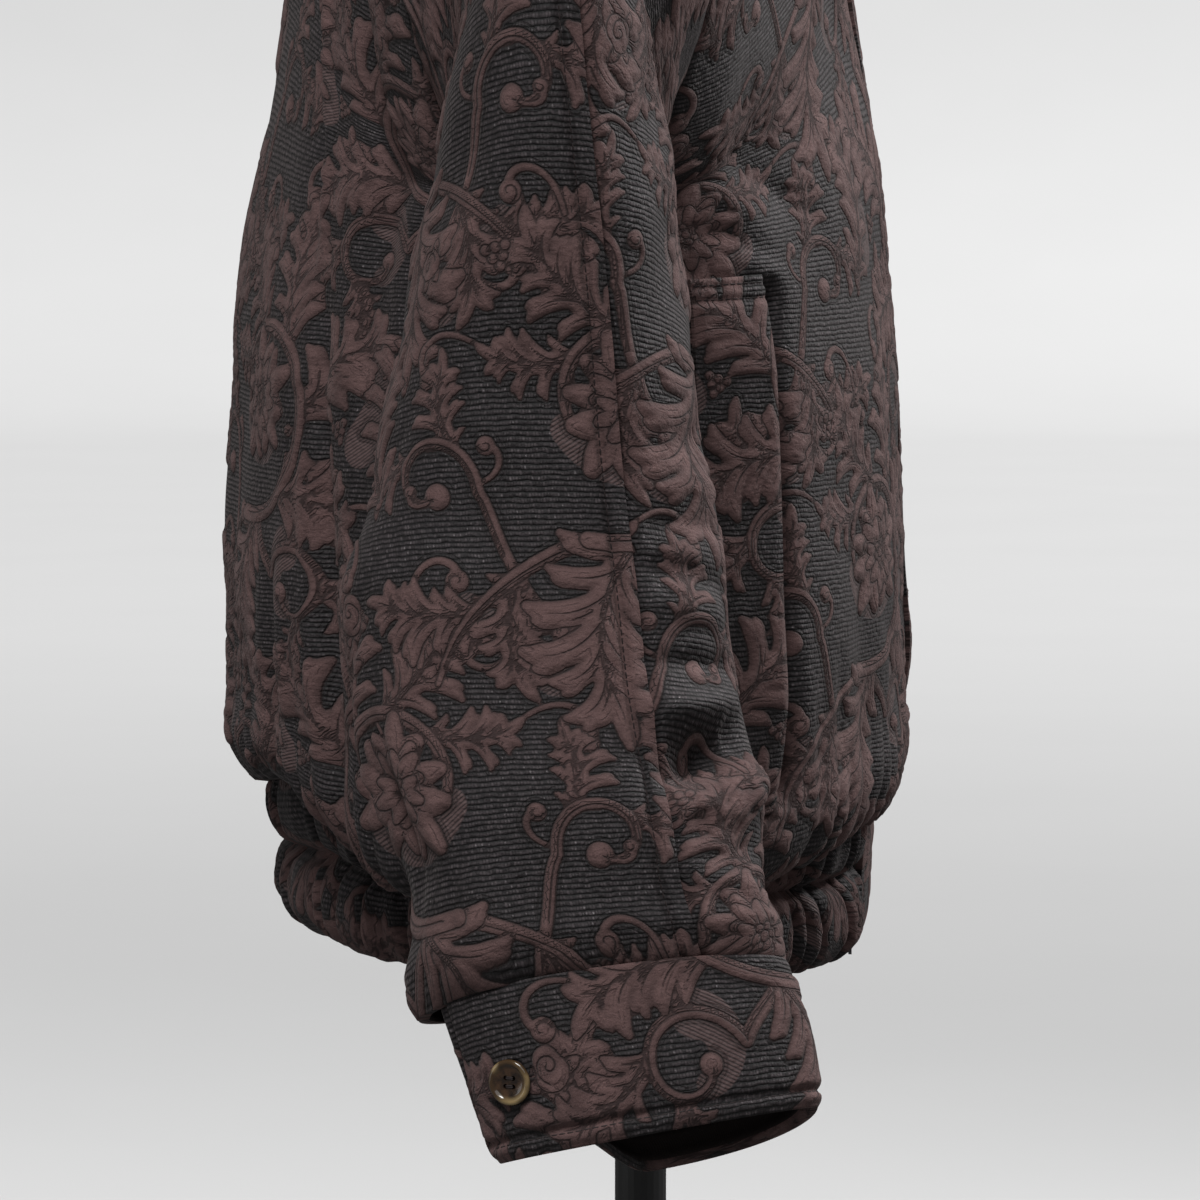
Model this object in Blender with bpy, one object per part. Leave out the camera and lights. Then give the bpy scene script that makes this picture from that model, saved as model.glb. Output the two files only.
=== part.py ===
"""Blouson jacket on a limbless dress form.

Metres, +Z up. The jacket's front faces -Y and the wearer's right is -X. The
origin is the middle of the underside of the stand's base. Every cloth piece
is a wall worked out from the sections of the garment in the tables below.
"""
import math

import bmesh
import bpy

for old in list(bpy.data.objects):
    bpy.data.objects.remove(old, do_unlink=True)

import numpy as np

# ---------------------------------------------------------------- sizes (m)
CLOTH = 0.0024          # padded jacquard, face to back
SEAM_GAP = 0.0003       # between neighbouring pieces
ROUND = 0.84            # section squareness: 1 is an ellipse, less is squarer


def smooth(q, col):
    """Monotone cubic through a table column, rows at q = 0, 1, 2, ..."""
    y = np.asarray(col, float)
    n = len(y)
    d = np.diff(y)
    m = np.zeros(n)
    m[0], m[-1] = d[0], d[-1]
    for i in range(1, n - 1):
        if d[i - 1] * d[i] > 0:
            m[i] = 2.0 * d[i - 1] * d[i] / (d[i - 1] + d[i])
    q = np.clip(np.asarray(q, float), 0, n - 1)
    i = np.minimum(q.astype(int), n - 2)
    t = q - i
    t2, t3 = t * t, t * t * t
    return ((2 * t3 - 3 * t2 + 1) * y[i] + (t3 - 2 * t2 + t) * m[i]
            + (3 * t2 - 2 * t3) * y[i + 1] + (t3 - t2) * m[i + 1])


def powc(v, e):
    return np.sign(v) * np.abs(v) ** e


def unit(v):
    return v / np.maximum(np.linalg.norm(v, axis=-1, keepdims=True), 1e-12)


# ---------------------------------------------------------------- armhole
# x is measured outward from the centre plane, so one table serves both sides
ARM_C = np.array([0.2275, 0.036, 0.770])     # middle of the armhole
ARM_HALF_Y = 0.062                           # half its width, front to back
ARM_TOP = np.array([0.0085, -0.006, 0.116])  # middle to shoulder point
ARM_LOW = np.array([-0.0005, 0.0, -0.118])   # middle to underarm point


def armhole(phi):
    """phi 0 front edge, 90 shoulder point, 180 back edge, 270 underarm."""
    phi = np.asarray(phi, float)
    c, s = np.cos(phi), np.sin(phi)
    p = ARM_C + s[..., None] * 0.0
    p = p + np.clip(s, 0, None)[..., None] * ARM_TOP
    p = p + np.clip(-s, 0, None)[..., None] * ARM_LOW
    p[..., 1] -= ARM_HALF_Y * c
    return p


# ---------------------------------------------------------------- body
# one row per section, hem seam to shoulder; the first three rows are the
# blouse that turns under above the hem band
#  centre front: x, y, z | side: half width, y, z | round: 1 wraps, 0 straight
FRONT_ROWS = np.array([
    # cf_x   cf_y     cf_z    side_x  side_y  side_z  round
    (0.000, -0.1052, 0.4025, 0.2010, 0.0285, 0.3745, 1.00),
    (0.000, -0.1070, 0.3935, 0.2085, 0.0290, 0.3655, 1.00),
    (0.000, -0.1082, 0.3910, 0.2155, 0.0295, 0.3625, 1.00),
    (0.000, -0.1098, 0.3960, 0.2225, 0.0300, 0.3670, 1.00),
    (0.000, -0.1125, 0.4080, 0.2275, 0.0310, 0.3835, 1.00),
    (0.000, -0.1152, 0.4260, 0.2305, 0.0320, 0.4080, 1.00),
    (0.000, -0.1178, 0.4520, 0.2325, 0.0325, 0.4435, 1.00),
    (0.000, -0.1150, 0.4900, 0.2320, 0.0335, 0.4900, 1.00),
    (0.000, -0.1130, 0.5350, 0.2300, 0.0340, 0.5350, 1.00),
    (0.000, -0.1100, 0.5850, 0.2270, 0.0350, 0.5850, 1.00),
    (0.000, -0.1057, 0.6350, 0.2245, 0.0355, 0.6250, 0.98),
    (0.000, -0.0992, 0.6850, 0.0000, 0.0000, 0.0000, 0.92),
    (0.000, -0.0922, 0.7300, 0.0000, 0.0000, 0.0000, 0.80),
    (0.000, -0.0845, 0.7800, 0.0000, 0.0000, 0.0000, 0.66),
    (0.000, -0.0715, 0.8350, 0.0000, 0.0000, 0.0000, 0.50),
    (0.000, -0.0560, 0.8850, 0.0000, 0.0000, 0.0000, 0.34),
    (0.056, -0.0310, 0.9130, 0.0000, 0.0000, 0.0000, 0.18),
    (0.086, 0.0300, 0.9600, 0.0000, 0.0000, 0.0000, 0.00),
])
BACK_ROWS = np.array([
    # cb_x   cb_y     cb_z    side_x  side_y  side_z  round
    (0.000, 0.1640, 0.4045, 0.2010, 0.0285, 0.3745, 1.00),
    (0.000, 0.1668, 0.3955, 0.2085, 0.0290, 0.3655, 1.00),
    (0.000, 0.1692, 0.3930, 0.2155, 0.0295, 0.3625, 1.00),
    (0.000, 0.1728, 0.3975, 0.2225, 0.0300, 0.3670, 1.00),
    (0.000, 0.1765, 0.4090, 0.2275, 0.0310, 0.3835, 1.00),
    (0.000, 0.1798, 0.4260, 0.2305, 0.0320, 0.4080, 1.00),
    (0.000, 0.1828, 0.4520, 0.2325, 0.0325, 0.4435, 1.00),
    (0.000, 0.1838, 0.4900, 0.2320, 0.0335, 0.4900, 1.00),
    (0.000, 0.1825, 0.5350, 0.2300, 0.0340, 0.5350, 1.00),
    (0.000, 0.1790, 0.5850, 0.2270, 0.0350, 0.5850, 1.00),
    (0.000, 0.1732, 0.6350, 0.2245, 0.0355, 0.6250, 0.98),
    (0.000, 0.1648, 0.6850, 0.0000, 0.0000, 0.0000, 0.92),
    (0.000, 0.1570, 0.7300, 0.0000, 0.0000, 0.0000, 0.80),
    (0.000, 0.1490, 0.7800, 0.0000, 0.0000, 0.0000, 0.66),
    (0.000, 0.1375, 0.8450, 0.0000, 0.0000, 0.0000, 0.50),
    (0.000, 0.1060, 0.9400, 0.0000, 0.0000, 0.0000, 0.34),
    (0.055, 0.0880, 0.9440, 0.0000, 0.0000, 0.0000, 0.18),
    (0.086, 0.0300, 0.9600, 0.0000, 0.0000, 0.0000, 0.00),
])
UNDERARM_ROW = 11        # from this row up the side edge runs on the armhole


def _edges(rows, front):
    rows = rows.copy()
    top = len(rows) - 1
    for i in range(UNDERARM_ROW, top + 1):
        f = (i - UNDERARM_ROW) / (top - UNDERARM_ROW)
        f = f - 0.045 * np.sin(2 * np.pi * f)
        phi = np.pi * (1.5 + f) if front else np.pi * (1.5 - f)
        rows[i, 3:6] = armhole(np.array(phi))
    return rows


FRONT_TAB, BACK_TAB = _edges(FRONT_ROWS, True), _edges(BACK_ROWS, False)


# the neckline is an oval in plan, low at the centre front
NECK_Q = 15
NECK_X, NECK_MID_Y, NECK_SIDE_Z = 0.086, 0.030, 0.960
NECK_FRONT_Y, NECK_FRONT_Z = -0.056, 0.885
NECK_BACK_Y, NECK_BACK_Z = 0.106, 0.940


def neckline(f, front):
    """f 0 at the centre line to 1 at the shoulder seam."""
    f = np.clip(np.asarray(f, float), 0, 1)
    y0, z0 = (NECK_FRONT_Y, NECK_FRONT_Z) if front else (NECK_BACK_Y, NECK_BACK_Z)
    c, s = np.cos(f * np.pi / 2), np.sin(f * np.pi / 2)
    rise = (1 - c) if front else s * s
    return np.stack([NECK_X * s, NECK_MID_Y + (y0 - NECK_MID_Y) * c, z0 + (NECK_SIDE_Z - z0) * rise], -1)


def _arc_rows(tab):
    """Row numbers spaced evenly along the cloth, hem to shoulder."""
    q = np.linspace(0, len(tab) - 1, 800)
    a = np.stack([smooth(q, tab[:, k]) for k in range(6)], -1)
    m = 0.62 * a[:, 0:3] + 0.38 * a[:, 3:6]
    d = np.r_[0, np.cumsum(np.linalg.norm(np.diff(m, axis=0), axis=1))]
    return q, d


FRONT_ARC, BACK_ARC = _arc_rows(FRONT_TAB), _arc_rows(BACK_TAB)
FRONT_LEN, BACK_LEN = FRONT_ARC[1][-1], BACK_ARC[1][-1]


# the blouse is drawn up by its gathers at the back, between centre and side
BACK_DRAW_UP = np.array([0.0, 0.006, 0.012, 0.019, 0.023, 0.015, 0.005, -0.001, 0.0, 0.0, 0.0])
DRAW_ROWS = (3.0, 7.5)           # all of it up to this row, none past that one


def drawn_up(u):
    """u 0 centre back to 1 side."""
    return smooth(np.clip(u, 0, 1) * 10, BACK_DRAW_UP)


def half_panel(u, v, front):
    """Half of the body: u 0 centre to 1 side, v 0 hem seam to 1 shoulder."""
    tab, arc = (FRONT_TAB, FRONT_ARC) if front else (BACK_TAB, BACK_ARC)
    q = np.interp(np.clip(v, 0, 1) * arc[1][-1], arc[1], arc[0])
    a = [smooth(q, tab[:, k]) for k in range(7)]
    at_neck = q > NECK_Q
    line = neckline((q - NECK_Q) / (len(tab) - 1 - NECK_Q), front)
    for k in range(3):
        a[k] = np.where(at_neck, line[..., k], a[k])
    b = a[6]
    th = u * np.pi / 2
    sr, cr = np.sin(th) ** ROUND, 1 - np.cos(th) ** ROUND
    bow = np.sin(np.pi * u)
    sx = b * sr + (1 - b) * u
    sy = b * cr + (1 - b) * (u ** 1.25 if front else u ** 1.25)
    sz = b * (np.sin(th) ** 2) + (1 - b) * u
    x = a[0] + (a[3] - a[0]) * sx
    y = a[1] + (a[4] - a[1]) * sy
    z = a[2] + (a[5] - a[2]) * sz
    z = z + 0.010 * (1 - b) * bow
    if not front:
        f = np.clip((DRAW_ROWS[1] - q) / (DRAW_ROWS[1] - DRAW_ROWS[0]), 0, 1)
        z = z + drawn_up(u) * f * f * (3 - 2 * f)
    return np.stack([x, y, z], -1)


# ---------------------------------------------------------------- sleeve
# one row per ring, armhole to cuff seam; x outward
SLEEVE_ROWS = np.array([
    # mid_x  back_y  back_z  frnt_y  frnt_z  out_x   out_z   in_x    in_z  round
    (0.2296, 0.0980, 0.7700, -0.0260, 0.7700, 0.2382, 0.8860, 0.2296, 0.6520, 1.00),
    (0.2520, 0.0880, 0.7560, -0.0150, 0.7560, 0.2990, 0.8690, 0.2395, 0.6400, 0.96),
    (0.2680, 0.0720, 0.7250, 0.0030, 0.7250, 0.3420, 0.8080, 0.2450, 0.6220, 0.92),
    (0.2800, 0.0800, 0.6840, -0.0040, 0.6840, 0.3560, 0.7230, 0.2490, 0.6000, 0.90),
    (0.2920, 0.0935, 0.6125, -0.0146, 0.6125, 0.3590, 0.6360, 0.2530, 0.5640, 0.88),
    (0.3050, 0.1059, 0.5456, -0.0222, 0.5456, 0.3610, 0.5620, 0.2590, 0.5240, 0.86),
    (0.3200, 0.1196, 0.4950, -0.0299, 0.4950, 0.3690, 0.5080, 0.2710, 0.4790, 0.86),
    (0.3350, 0.1158, 0.4510, -0.0367, 0.4510, 0.3800, 0.4640, 0.2870, 0.4360, 0.86),
    (0.3500, 0.1030, 0.4137, -0.0441, 0.4188, 0.3930, 0.4290, 0.3060, 0.4020, 0.88),
    (0.3610, 0.0905, 0.3835, -0.0432, 0.3916, 0.4000, 0.4010, 0.3210, 0.3740, 0.90),
    (0.3735, 0.0850, 0.3450, -0.0525, 0.3605, 0.4030, 0.3640, 0.3440, 0.3375, 0.92),
])
CUFF_ROWS = np.array([
    # mid_x  back_y  back_z  frnt_y  frnt_z  out_x   out_z   in_x    in_z  round
    (0.3738, 0.0800, 0.3425, -0.0535, 0.3600, 0.4010, 0.3630, 0.3466, 0.3365, 0.95),
    (0.3805, 0.0690, 0.3130, -0.0610, 0.3325, 0.4080, 0.3330, 0.3530, 0.3070, 0.97),
    (0.3865, 0.0582, 0.2815, -0.0665, 0.3045, 0.4135, 0.2992, 0.3595, 0.2745, 0.99),
])


def ring(tab, q, phi):
    a = [smooth(q, tab[:, k]) for k in range(10)]
    e = a[9]
    c, s = np.cos(phi), np.sin(phi)
    cc, ss = np.abs(c) ** e, np.abs(s) ** e
    yc, zc = (a[1] + a[3]) / 2, (a[2] + a[4]) / 2
    fr = c > 0
    y = yc + np.where(fr, a[3] - yc, a[1] - yc) * cc
    z = zc + np.where(fr, a[4] - zc, a[2] - zc) * cc
    up = s > 0
    x = a[0] + np.where(up, a[5] - a[0], a[7] - a[0]) * ss
    z = z + np.where(up, a[6] - zc, a[8] - zc) * ss
    return np.stack([x + 0 * y, y, z], -1)


def _arc_sleeve():
    q = np.linspace(0, len(SLEEVE_ROWS) - 1, 600)
    p = 0.5 * (ring(SLEEVE_ROWS, q, np.full_like(q, 0.0)) + ring(SLEEVE_ROWS, q, np.full_like(q, np.pi)))
    o = ring(SLEEVE_ROWS, q, np.full_like(q, np.pi / 2))
    m = 0.6 * p + 0.4 * o
    return q, np.r_[0, np.cumsum(np.linalg.norm(np.diff(m, axis=0), axis=1))]


SLEEVE_ARC = _arc_sleeve()
SLEEVE_LEN = SLEEVE_ARC[1][-1]
# the over-arm seam runs on the outer face, forward of its middle
SEAM_DEG = np.array([90.0, 88.0, 83.0, 76.0, 69.0, 65.0, 61.0, 62.0, 63.0, 61.0, 60.0])


def sleeve_q(v):
    return np.interp(np.clip(v, 0, 1) * SLEEVE_LEN, SLEEVE_ARC[1], SLEEVE_ARC[0])


def sleeve(phi, v):
    return ring(SLEEVE_ROWS, sleeve_q(v), phi)


def seam_phi(v):
    return np.radians(smooth(sleeve_q(v), SEAM_DEG))


CUFF_TUCK = 0.0170               # the inner wall's lower edge is drawn up at the back


def cuff(phi, row):
    """phi as on the sleeve, row 0 at the seam to 2 at the lower edge."""
    p = ring(CUFF_ROWS, row, phi)
    deg = np.degrees(phi) % 360.0
    a, b = np.clip((deg - 181.0) / 16.0, 0, 1), np.clip((268.0 - deg) / 30.0, 0, 1)
    share = (a * a * (3 - 2 * a)) * (b * b * (3 - 2 * b)) * (np.asarray(row) / 2) ** 1.6
    p[..., 2] += CUFF_TUCK * share
    return p


# ---------------------------------------------------------------- hem band
HEM_ROWS = np.array([
    # half_w  y_frnt   y_back   z
    (0.1850, -0.0980, 0.1495, 0.3200),
    (0.1905, -0.1015, 0.1570, 0.3360),
    (0.1890, -0.1025, 0.1590, 0.3560),
    (0.1925, -0.1035, 0.1615, 0.3760),
    (0.1900, -0.1020, 0.1600, 0.3960),
])
HEM_SIDE_Y = 0.0285
HEM_BACK_LIFT = 0.0115           # the lower edge rises to the back
HEM_SIDE_DROP = 0.0060           # and hangs lower at the sides


def hem_ring(ang, w):
    """ang 0 at centre front, pi at centre back; w 0 bottom to 1 top."""
    q = np.asarray(w, float) * (len(HEM_ROWS) - 1)
    a, yf, yb, z = [smooth(q, HEM_ROWS[:, k]) for k in range(4)]
    c, s = np.cos(ang), np.sin(ang)
    e = 0.92
    x = a * powc(s, e)
    y = HEM_SIDE_Y + np.where(c > 0, yf - HEM_SIDE_Y, yb - HEM_SIDE_Y) * np.abs(c) ** e
    z = z + (1 - np.asarray(w)) * (HEM_BACK_LIFT * (1 - c) / 2 - HEM_SIDE_DROP * s * s)
    z = z + 0.85 * drawn_up(np.abs(np.pi - ang) / (np.pi / 2)) * np.asarray(w, float) ** 1.5
    return np.stack([x, y, z + 0 * x], -1)


# ---------------------------------------------------------------- folds
# soft troughs (minus) and ridges (plus): a line on the panel from (u0, v0) to
# (u1, v1), its half width and its depth; on a sleeve u is the angle in degrees
BACK_FOLDS = np.array([
    # u0    v0    u1    v1    width   depth
    (0.60, 0.04, 0.53, 0.36, 0.016, -0.0060),
    (0.53, 0.36, 0.36, 0.60, 0.018, -0.0045),
    (0.47, 0.03, 0.44, 0.34, 0.014, 0.0030),
    (0.14, 0.04, 0.16, 0.30, 0.020, -0.0030),
    (0.80, 0.05, 0.78, 0.28, 0.016, 0.0030),
])
FRONT_FOLDS = np.array([
    # u0    v0    u1    v1    width   depth
    (0.34, 0.05, 0.40, 0.22, 0.015, -0.0030),
    (0.50, 0.45, 0.76, 0.60, 0.018, -0.0040),
    (0.56, 0.40, 0.70, 0.45, 0.012, 0.0025),
    (0.90, 0.05, 0.90, 0.30, 0.016, 0.0030),
])
SLEEVE_FOLDS = np.array([
    # deg0  v0     deg1   v1    width   depth
    (28.0, 0.800, 58.0, 0.845, 0.014, -0.0075),
    (12.0, 0.860, 52.0, 0.790, 0.012, 0.0030),
    (20.0, 0.900, 50.0, 0.880, 0.010, -0.0035),
    (150.0, 0.900, 172.0, 0.780, 0.014, -0.0040),
    (128.0, 0.955, 150.0, 0.840, 0.011, 0.0025),
    (100.0, 0.300, 150.0, 0.420, 0.016, -0.0030),
    (40.0, 0.330, 62.0, 0.560, 0.014, 0.0020),
    (285.0, 0.700, 330.0, 0.820, 0.014, -0.0040),
    (215.0, 0.780, 250.0, 0.860, 0.014, -0.0040),
])
PANEL_WIDE, PANEL_TALL = 0.31, 0.63     # to measure folds in metres
SLEEVE_REACH = 0.064                    # metres of cloth to a radian


def folds(u, v, table, wide, tall):
    out = np.zeros(np.broadcast(u, v).shape)
    for u0, v0, u1, v1, width, depth in table:
        ax, ay = u0 * wide, v0 * tall
        dx, dy = (u1 - u0) * wide, (v1 - v0) * tall
        n = np.hypot(dx, dy)
        px, py = u * wide - ax, v * tall - ay
        s = np.clip((px * dx + py * dy) / (n * n), 0, 1)
        d = np.hypot(px - s * dx, py - s * dy)
        taper = np.sin(np.pi * np.clip(0.12 + 0.76 * s, 0, 1)) ** 0.7
        out = out + depth * taper * np.exp(-(d / width) ** 2)
    return out


def normals(f, a, b, ha=1e-4, hb=1e-4):
    """Unit normal of a surface f(a, b) by small steps, kept inside 0..1 in b."""
    da = f(a + ha, b) - f(a - ha, b)
    b0, b1 = np.clip(b - hb, 0, 1), np.clip(b + hb, 0, 1)
    return unit(np.cross(da, f(a, b1) - f(a, b0)))


# ---------------------------------------------------------------- other sizes
CUFF_THICK = 0.0034
CUFF_UNDERLAP_DEG = 38.0
CUFF_STEP_IN = 0.0042            # the under end lies this far inside
BUTTON_R = 0.0090
BUTTON_AT = (139.0, 1.16)        # on the cuff: angle in degrees, row
BUTTON_HOLE_R = 0.00095
BUTTON_HOLE_OFF = 0.00165
TAB_DEG = 17.5                   # flat ends of the hem band
TAB_THICK = 0.0030
GATHERS = 36
GATHER_OUT = 0.0022
PLACKET_HALF_U = 0.036
PLACKET_THICK = 0.0020
PLACKET_ROWS = (2.2, 15.0)         # rows of the body tables
WELT_U = (0.655, 0.800)          # free edge, sewn edge
WELT_ROWS = (4.4, 9.85)
WELT_THICK = 0.0030
WELT_LIFT = 0.0060               # the free edge stands off the front
COLLAR_FRONT_Z, COLLAR_BACK_Z = 0.929, 0.992   # its top edge
COLLAR_LEAN = 0.16
COLLAR_CLEAR = 0.0034             # above the cut neck edge
COLLAR_THICK = 0.0030
ZIP_END = (0.0046, 0.0014, 0.046)     # wide, thick, long
ZIP_END_LOW = 0.3075
POLE_R = 0.0117
BASE_R, BASE_THICK = 0.190, 0.012
FORM_LOW = 0.430
FORM_ROWS = np.array([
    # z      half_w  half_d  mid_y
    (0.430, 0.112, 0.090, 0.010),
    (0.436, 0.126, 0.100, 0.010),
    (0.470, 0.138, 0.107, 0.012),
    (0.540, 0.136, 0.104, 0.016),
    (0.620, 0.136, 0.100, 0.022),
    (0.700, 0.146, 0.102, 0.026),
    (0.770, 0.156, 0.098, 0.030),
    (0.830, 0.160, 0.088, 0.033),
    (0.870, 0.154, 0.072, 0.036),
    (0.900, 0.136, 0.056, 0.038),
    (0.922, 0.106, 0.048, 0.039),
    (0.938, 0.078, 0.046, 0.038),
    (0.950, 0.060, 0.046, 0.036),
    (0.968, 0.051, 0.047, 0.034),
    (0.984, 0.049, 0.049, 0.033),
])
NECK_Y = 0.033
CAP_LOW, CAP_TOP = 0.9843, 1.000

COLOURS = {
    # name: base colour, roughness, metallic
    "jacquard": ((0.085, 0.060, 0.058), 0.85, 0.0),
    "horn": ((0.035, 0.024, 0.016), 0.25, 0.0),
    "zip_metal": ((0.05, 0.05, 0.055), 0.4, 0.6),
    "form_cover": ((0.02, 0.02, 0.021), 0.8, 0.0),
    "black_satin": ((0.012, 0.012, 0.013), 0.35, 0.0),
}
MATERIALS = {}
for key, (colour, rough, metal) in COLOURS.items():
    made = bpy.data.materials.new(key)
    made.use_nodes = True
    shader = made.node_tree.nodes["Principled BSDF"]
    shader.inputs["Base Color"].default_value = (*colour, 1.0)
    shader.inputs["Roughness"].default_value = rough
    shader.inputs["Metallic"].default_value = metal
    MATERIALS[key] = made

jacket = bpy.data.objects.new("jacket", None)
stand = bpy.data.objects.new("stand", None)
for holder in (jacket, stand):
    bpy.context.scene.collection.objects.link(holder)


def volume(points, faces):
    p = np.asarray(points)
    total = 0.0
    for f in faces:
        for k in range(1, len(f) - 1):
            total += np.dot(p[f[0]], np.cross(p[f[k]], p[f[k + 1]]))
    return total / 6.0


def add(name, points, faces, colour, parent, sharp=40.0):
    if volume(points, faces) < 0:
        faces = [tuple(reversed(f)) for f in faces]
    mesh = bpy.data.meshes.new(name)
    mesh.from_pydata([tuple(map(float, p)) for p in points], [], faces)
    mesh.materials.append(MATERIALS[colour])
    mesh.shade_smooth()
    mesh.set_sharp_from_angle(angle=math.radians(sharp))
    ob = bpy.data.objects.new(name, mesh)
    bpy.context.scene.collection.objects.link(ob)
    ob.parent = parent
    return ob


def wall(name, mid, nrm, quads, thick, colour="jacquard", side=1):
    """A closed wall on quads of middle points, thick/2 each way, with a rim."""
    mid, nrm = mid.reshape(-1, 3), nrm.reshape(-1, 3)
    t = np.broadcast_to(np.asarray(thick, float).reshape(-1, 1), (len(mid), 1))
    pts = np.concatenate([mid + nrm * t / 2, mid - nrm * t / 2]) * np.array([side, 1, 1])
    n = len(mid)
    faces, edges = [], {}
    for f in quads:
        a, b, c, d = f
        faces += [(a, b, c), (a, c, d), (a + n, c + n, b + n), (a + n, d + n, c + n)]
        for a, b in zip(f, f[1:] + f[:1]):
            if (b, a) in edges:
                del edges[(b, a)]
            else:
                edges[(a, b)] = True
    for a, b in edges:
        faces.append((b, a, a + n, b + n))
    return add(name, pts, faces, colour, jacket)


def grid(nu, nv, first=0):
    return [(first + i * nv + j, first + (i + 1) * nv + j, first + (i + 1) * nv + j + 1, first + i * nv + j + 1)
            for i in range(nu - 1) for j in range(nv - 1)]


def turned(name, rows, segments, colour, parent, close=True):
    """Stacked closed rings with flat ends; rows of (z, half_x, half_y, mid_y, power)."""
    ang = np.linspace(0, 2 * np.pi, segments, endpoint=False)
    pts, faces = [], []
    for z, hx, hy, my, e in rows:
        for a in ang:
            pts.append((hx * powc(np.cos(a), e), my + hy * powc(np.sin(a), e), z))
    for r in range(len(rows) - 1):
        for k in range(segments):
            m = (k + 1) % segments
            faces.append((r * segments + k, r * segments + m, (r + 1) * segments + m, (r + 1) * segments + k))
    faces.append(tuple(range(segments - 1, -1, -1)))
    last = (len(rows) - 1) * segments
    faces.append(tuple(range(last, last + segments)))
    return add(name, pts, faces, colour, parent)


# ---------------------------------------------------------------- body panels
SHOULDER_N = unit(np.array([0.45, 0.0, 0.89]))


def front_f(u, v):
    return half_panel(u, v, True)


def back_f(u, v):
    return half_panel(u, v, False)


def body_normals(f, u, v, turn):
    n = normals(f, np.clip(u, 2e-4, 1 - 2e-4), v) * turn
    w = np.clip((v - 0.955) / 0.045, 0, 1)[..., None]
    return unit(n * (1 - w) + SHOULDER_N * w)


def front_points(u, v):
    n = body_normals(front_f, u, v, FRONT_TURN)
    return front_f(u, v) + n * folds(u, v, FRONT_FOLDS, PANEL_WIDE, PANEL_TALL)[..., None], n


def back_points(u, v):
    n = body_normals(back_f, u, v, BACK_TURN)
    return back_f(u, v) + n * folds(u, v, BACK_FOLDS, PANEL_WIDE, PANEL_TALL)[..., None], n


probe_u, probe_v = np.array([0.4]), np.array([0.4])
FRONT_TURN = -1.0 if normals(front_f, probe_u, probe_v)[0, 1] > 0 else 1.0
BACK_TURN = -1.0 if normals(back_f, probe_u, probe_v)[0, 1] < 0 else 1.0

BODY_Q = np.array([0, 0.7, 1.4, 2.2, 3, 3.7, 4.4, 5.2, 6, 7, 8, 9, 9.85, 11, 12, 13, 14, 15, 15.5, 16.0, 16.5, 17.0])
NECK_ROW = 17                    # the row at the base of the neck
EDGE_U = SEAM_GAP / PANEL_WIDE


def rows_v(arc):
    v = np.interp(BODY_Q, arc[0], arc[1]) / arc[1][-1]
    v[-1] = 1 - SEAM_GAP / arc[1][-1]
    return v


front_u = np.array([EDGE_U, PLACKET_HALF_U, 0.12, 0.24, 0.36, 0.47, 0.57, WELT_U[0], 0.728, WELT_U[1], 0.9, 1 - EDGE_U])
front_v = rows_v(FRONT_ARC)
uu, vv = np.meshgrid(front_u, front_v, indexing="ij")
mid, nrm = front_points(uu, vv)
for name, side in (("front_right", -1), ("front_left", 1)):
    wall(name, mid, nrm, grid(*uu.shape), CLOTH, side=side)

# the back is one piece: two halves that share the centre line up to the neck
back_u = np.linspace(0.0, 1 - EDGE_U, 11)
uu, vv = np.meshgrid(back_u, rows_v(BACK_ARC), indexing="ij")
mid, nrm = back_points(uu, vv)
nrm[0, :NECK_ROW + 1, 0] = 0.0
nrm = unit(nrm)
mid[0, :NECK_ROW + 1, 0] = 0.0
mirror = np.array([-1.0, 1.0, 1.0])
count = uu.size
quads = grid(*uu.shape)
for f in grid(*uu.shape, first=count):
    f = tuple(k - count if k - count <= NECK_ROW else k for k in f)
    quads.append(tuple(reversed(f)))
points = np.concatenate([mid.reshape(-1, 3), mid.reshape(-1, 3) * mirror])
vectors = np.concatenate([nrm.reshape(-1, 3), nrm.reshape(-1, 3) * mirror])
used = sorted({k for f in quads for k in f})
index = {k: i for i, k in enumerate(used)}
wall("back", points[used], vectors[used], [tuple(index[k] for k in f) for f in quads], CLOTH)

# ---------------------------------------------------------------- sleeves
SLEEVE_V = np.concatenate([np.linspace(0.0, 0.70, 9), np.linspace(0.70, 1.0, 7)[1:]])


def sleeve_points(phi, v):
    n = -normals(sleeve, phi, v)
    d = folds(np.degrees(phi) % 360.0, v, SLEEVE_FOLDS, SLEEVE_REACH * math.pi / 180, SLEEVE_LEN)
    return sleeve(phi, v) + n * d[..., None], n


test_n = -normals(sleeve, np.array([np.pi / 2]), np.array([0.6]))
assert test_n[0, 0] > 0
SLEEVE_EDGE = SEAM_GAP * 0.6 / 0.045      # radians at a seam
for half, count in (("front", 9), ("back", 13)):
    f = np.linspace(0, 1, count)[:, None]
    v = SLEEVE_V[None, :]
    low = -math.pi / 2 + SLEEVE_EDGE if half == "front" else seam_phi(v) + SLEEVE_EDGE
    high = seam_phi(v) - SLEEVE_EDGE if half == "front" else 1.5 * math.pi - SLEEVE_EDGE
    phi = low + (high - low) * f + 0 * v
    v = v + 0 * f
    mid, nrm = sleeve_points(phi, v)
    for side_name, side in (("right", -1), ("left", 1)):
        wall("sleeve_%s_%s" % (side_name, half), mid, nrm, grid(*phi.shape), CLOTH, side=side)

# ---------------------------------------------------------------- cuffs


def cuff_normals(phi, row):
    da = cuff(phi + 1e-4, row) - cuff(phi - 1e-4, row)
    db = cuff(phi, np.clip(row + 1e-3, 0, 2)) - cuff(phi, np.clip(row - 1e-3, 0, 2))
    return -unit(np.cross(da, db))


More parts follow.
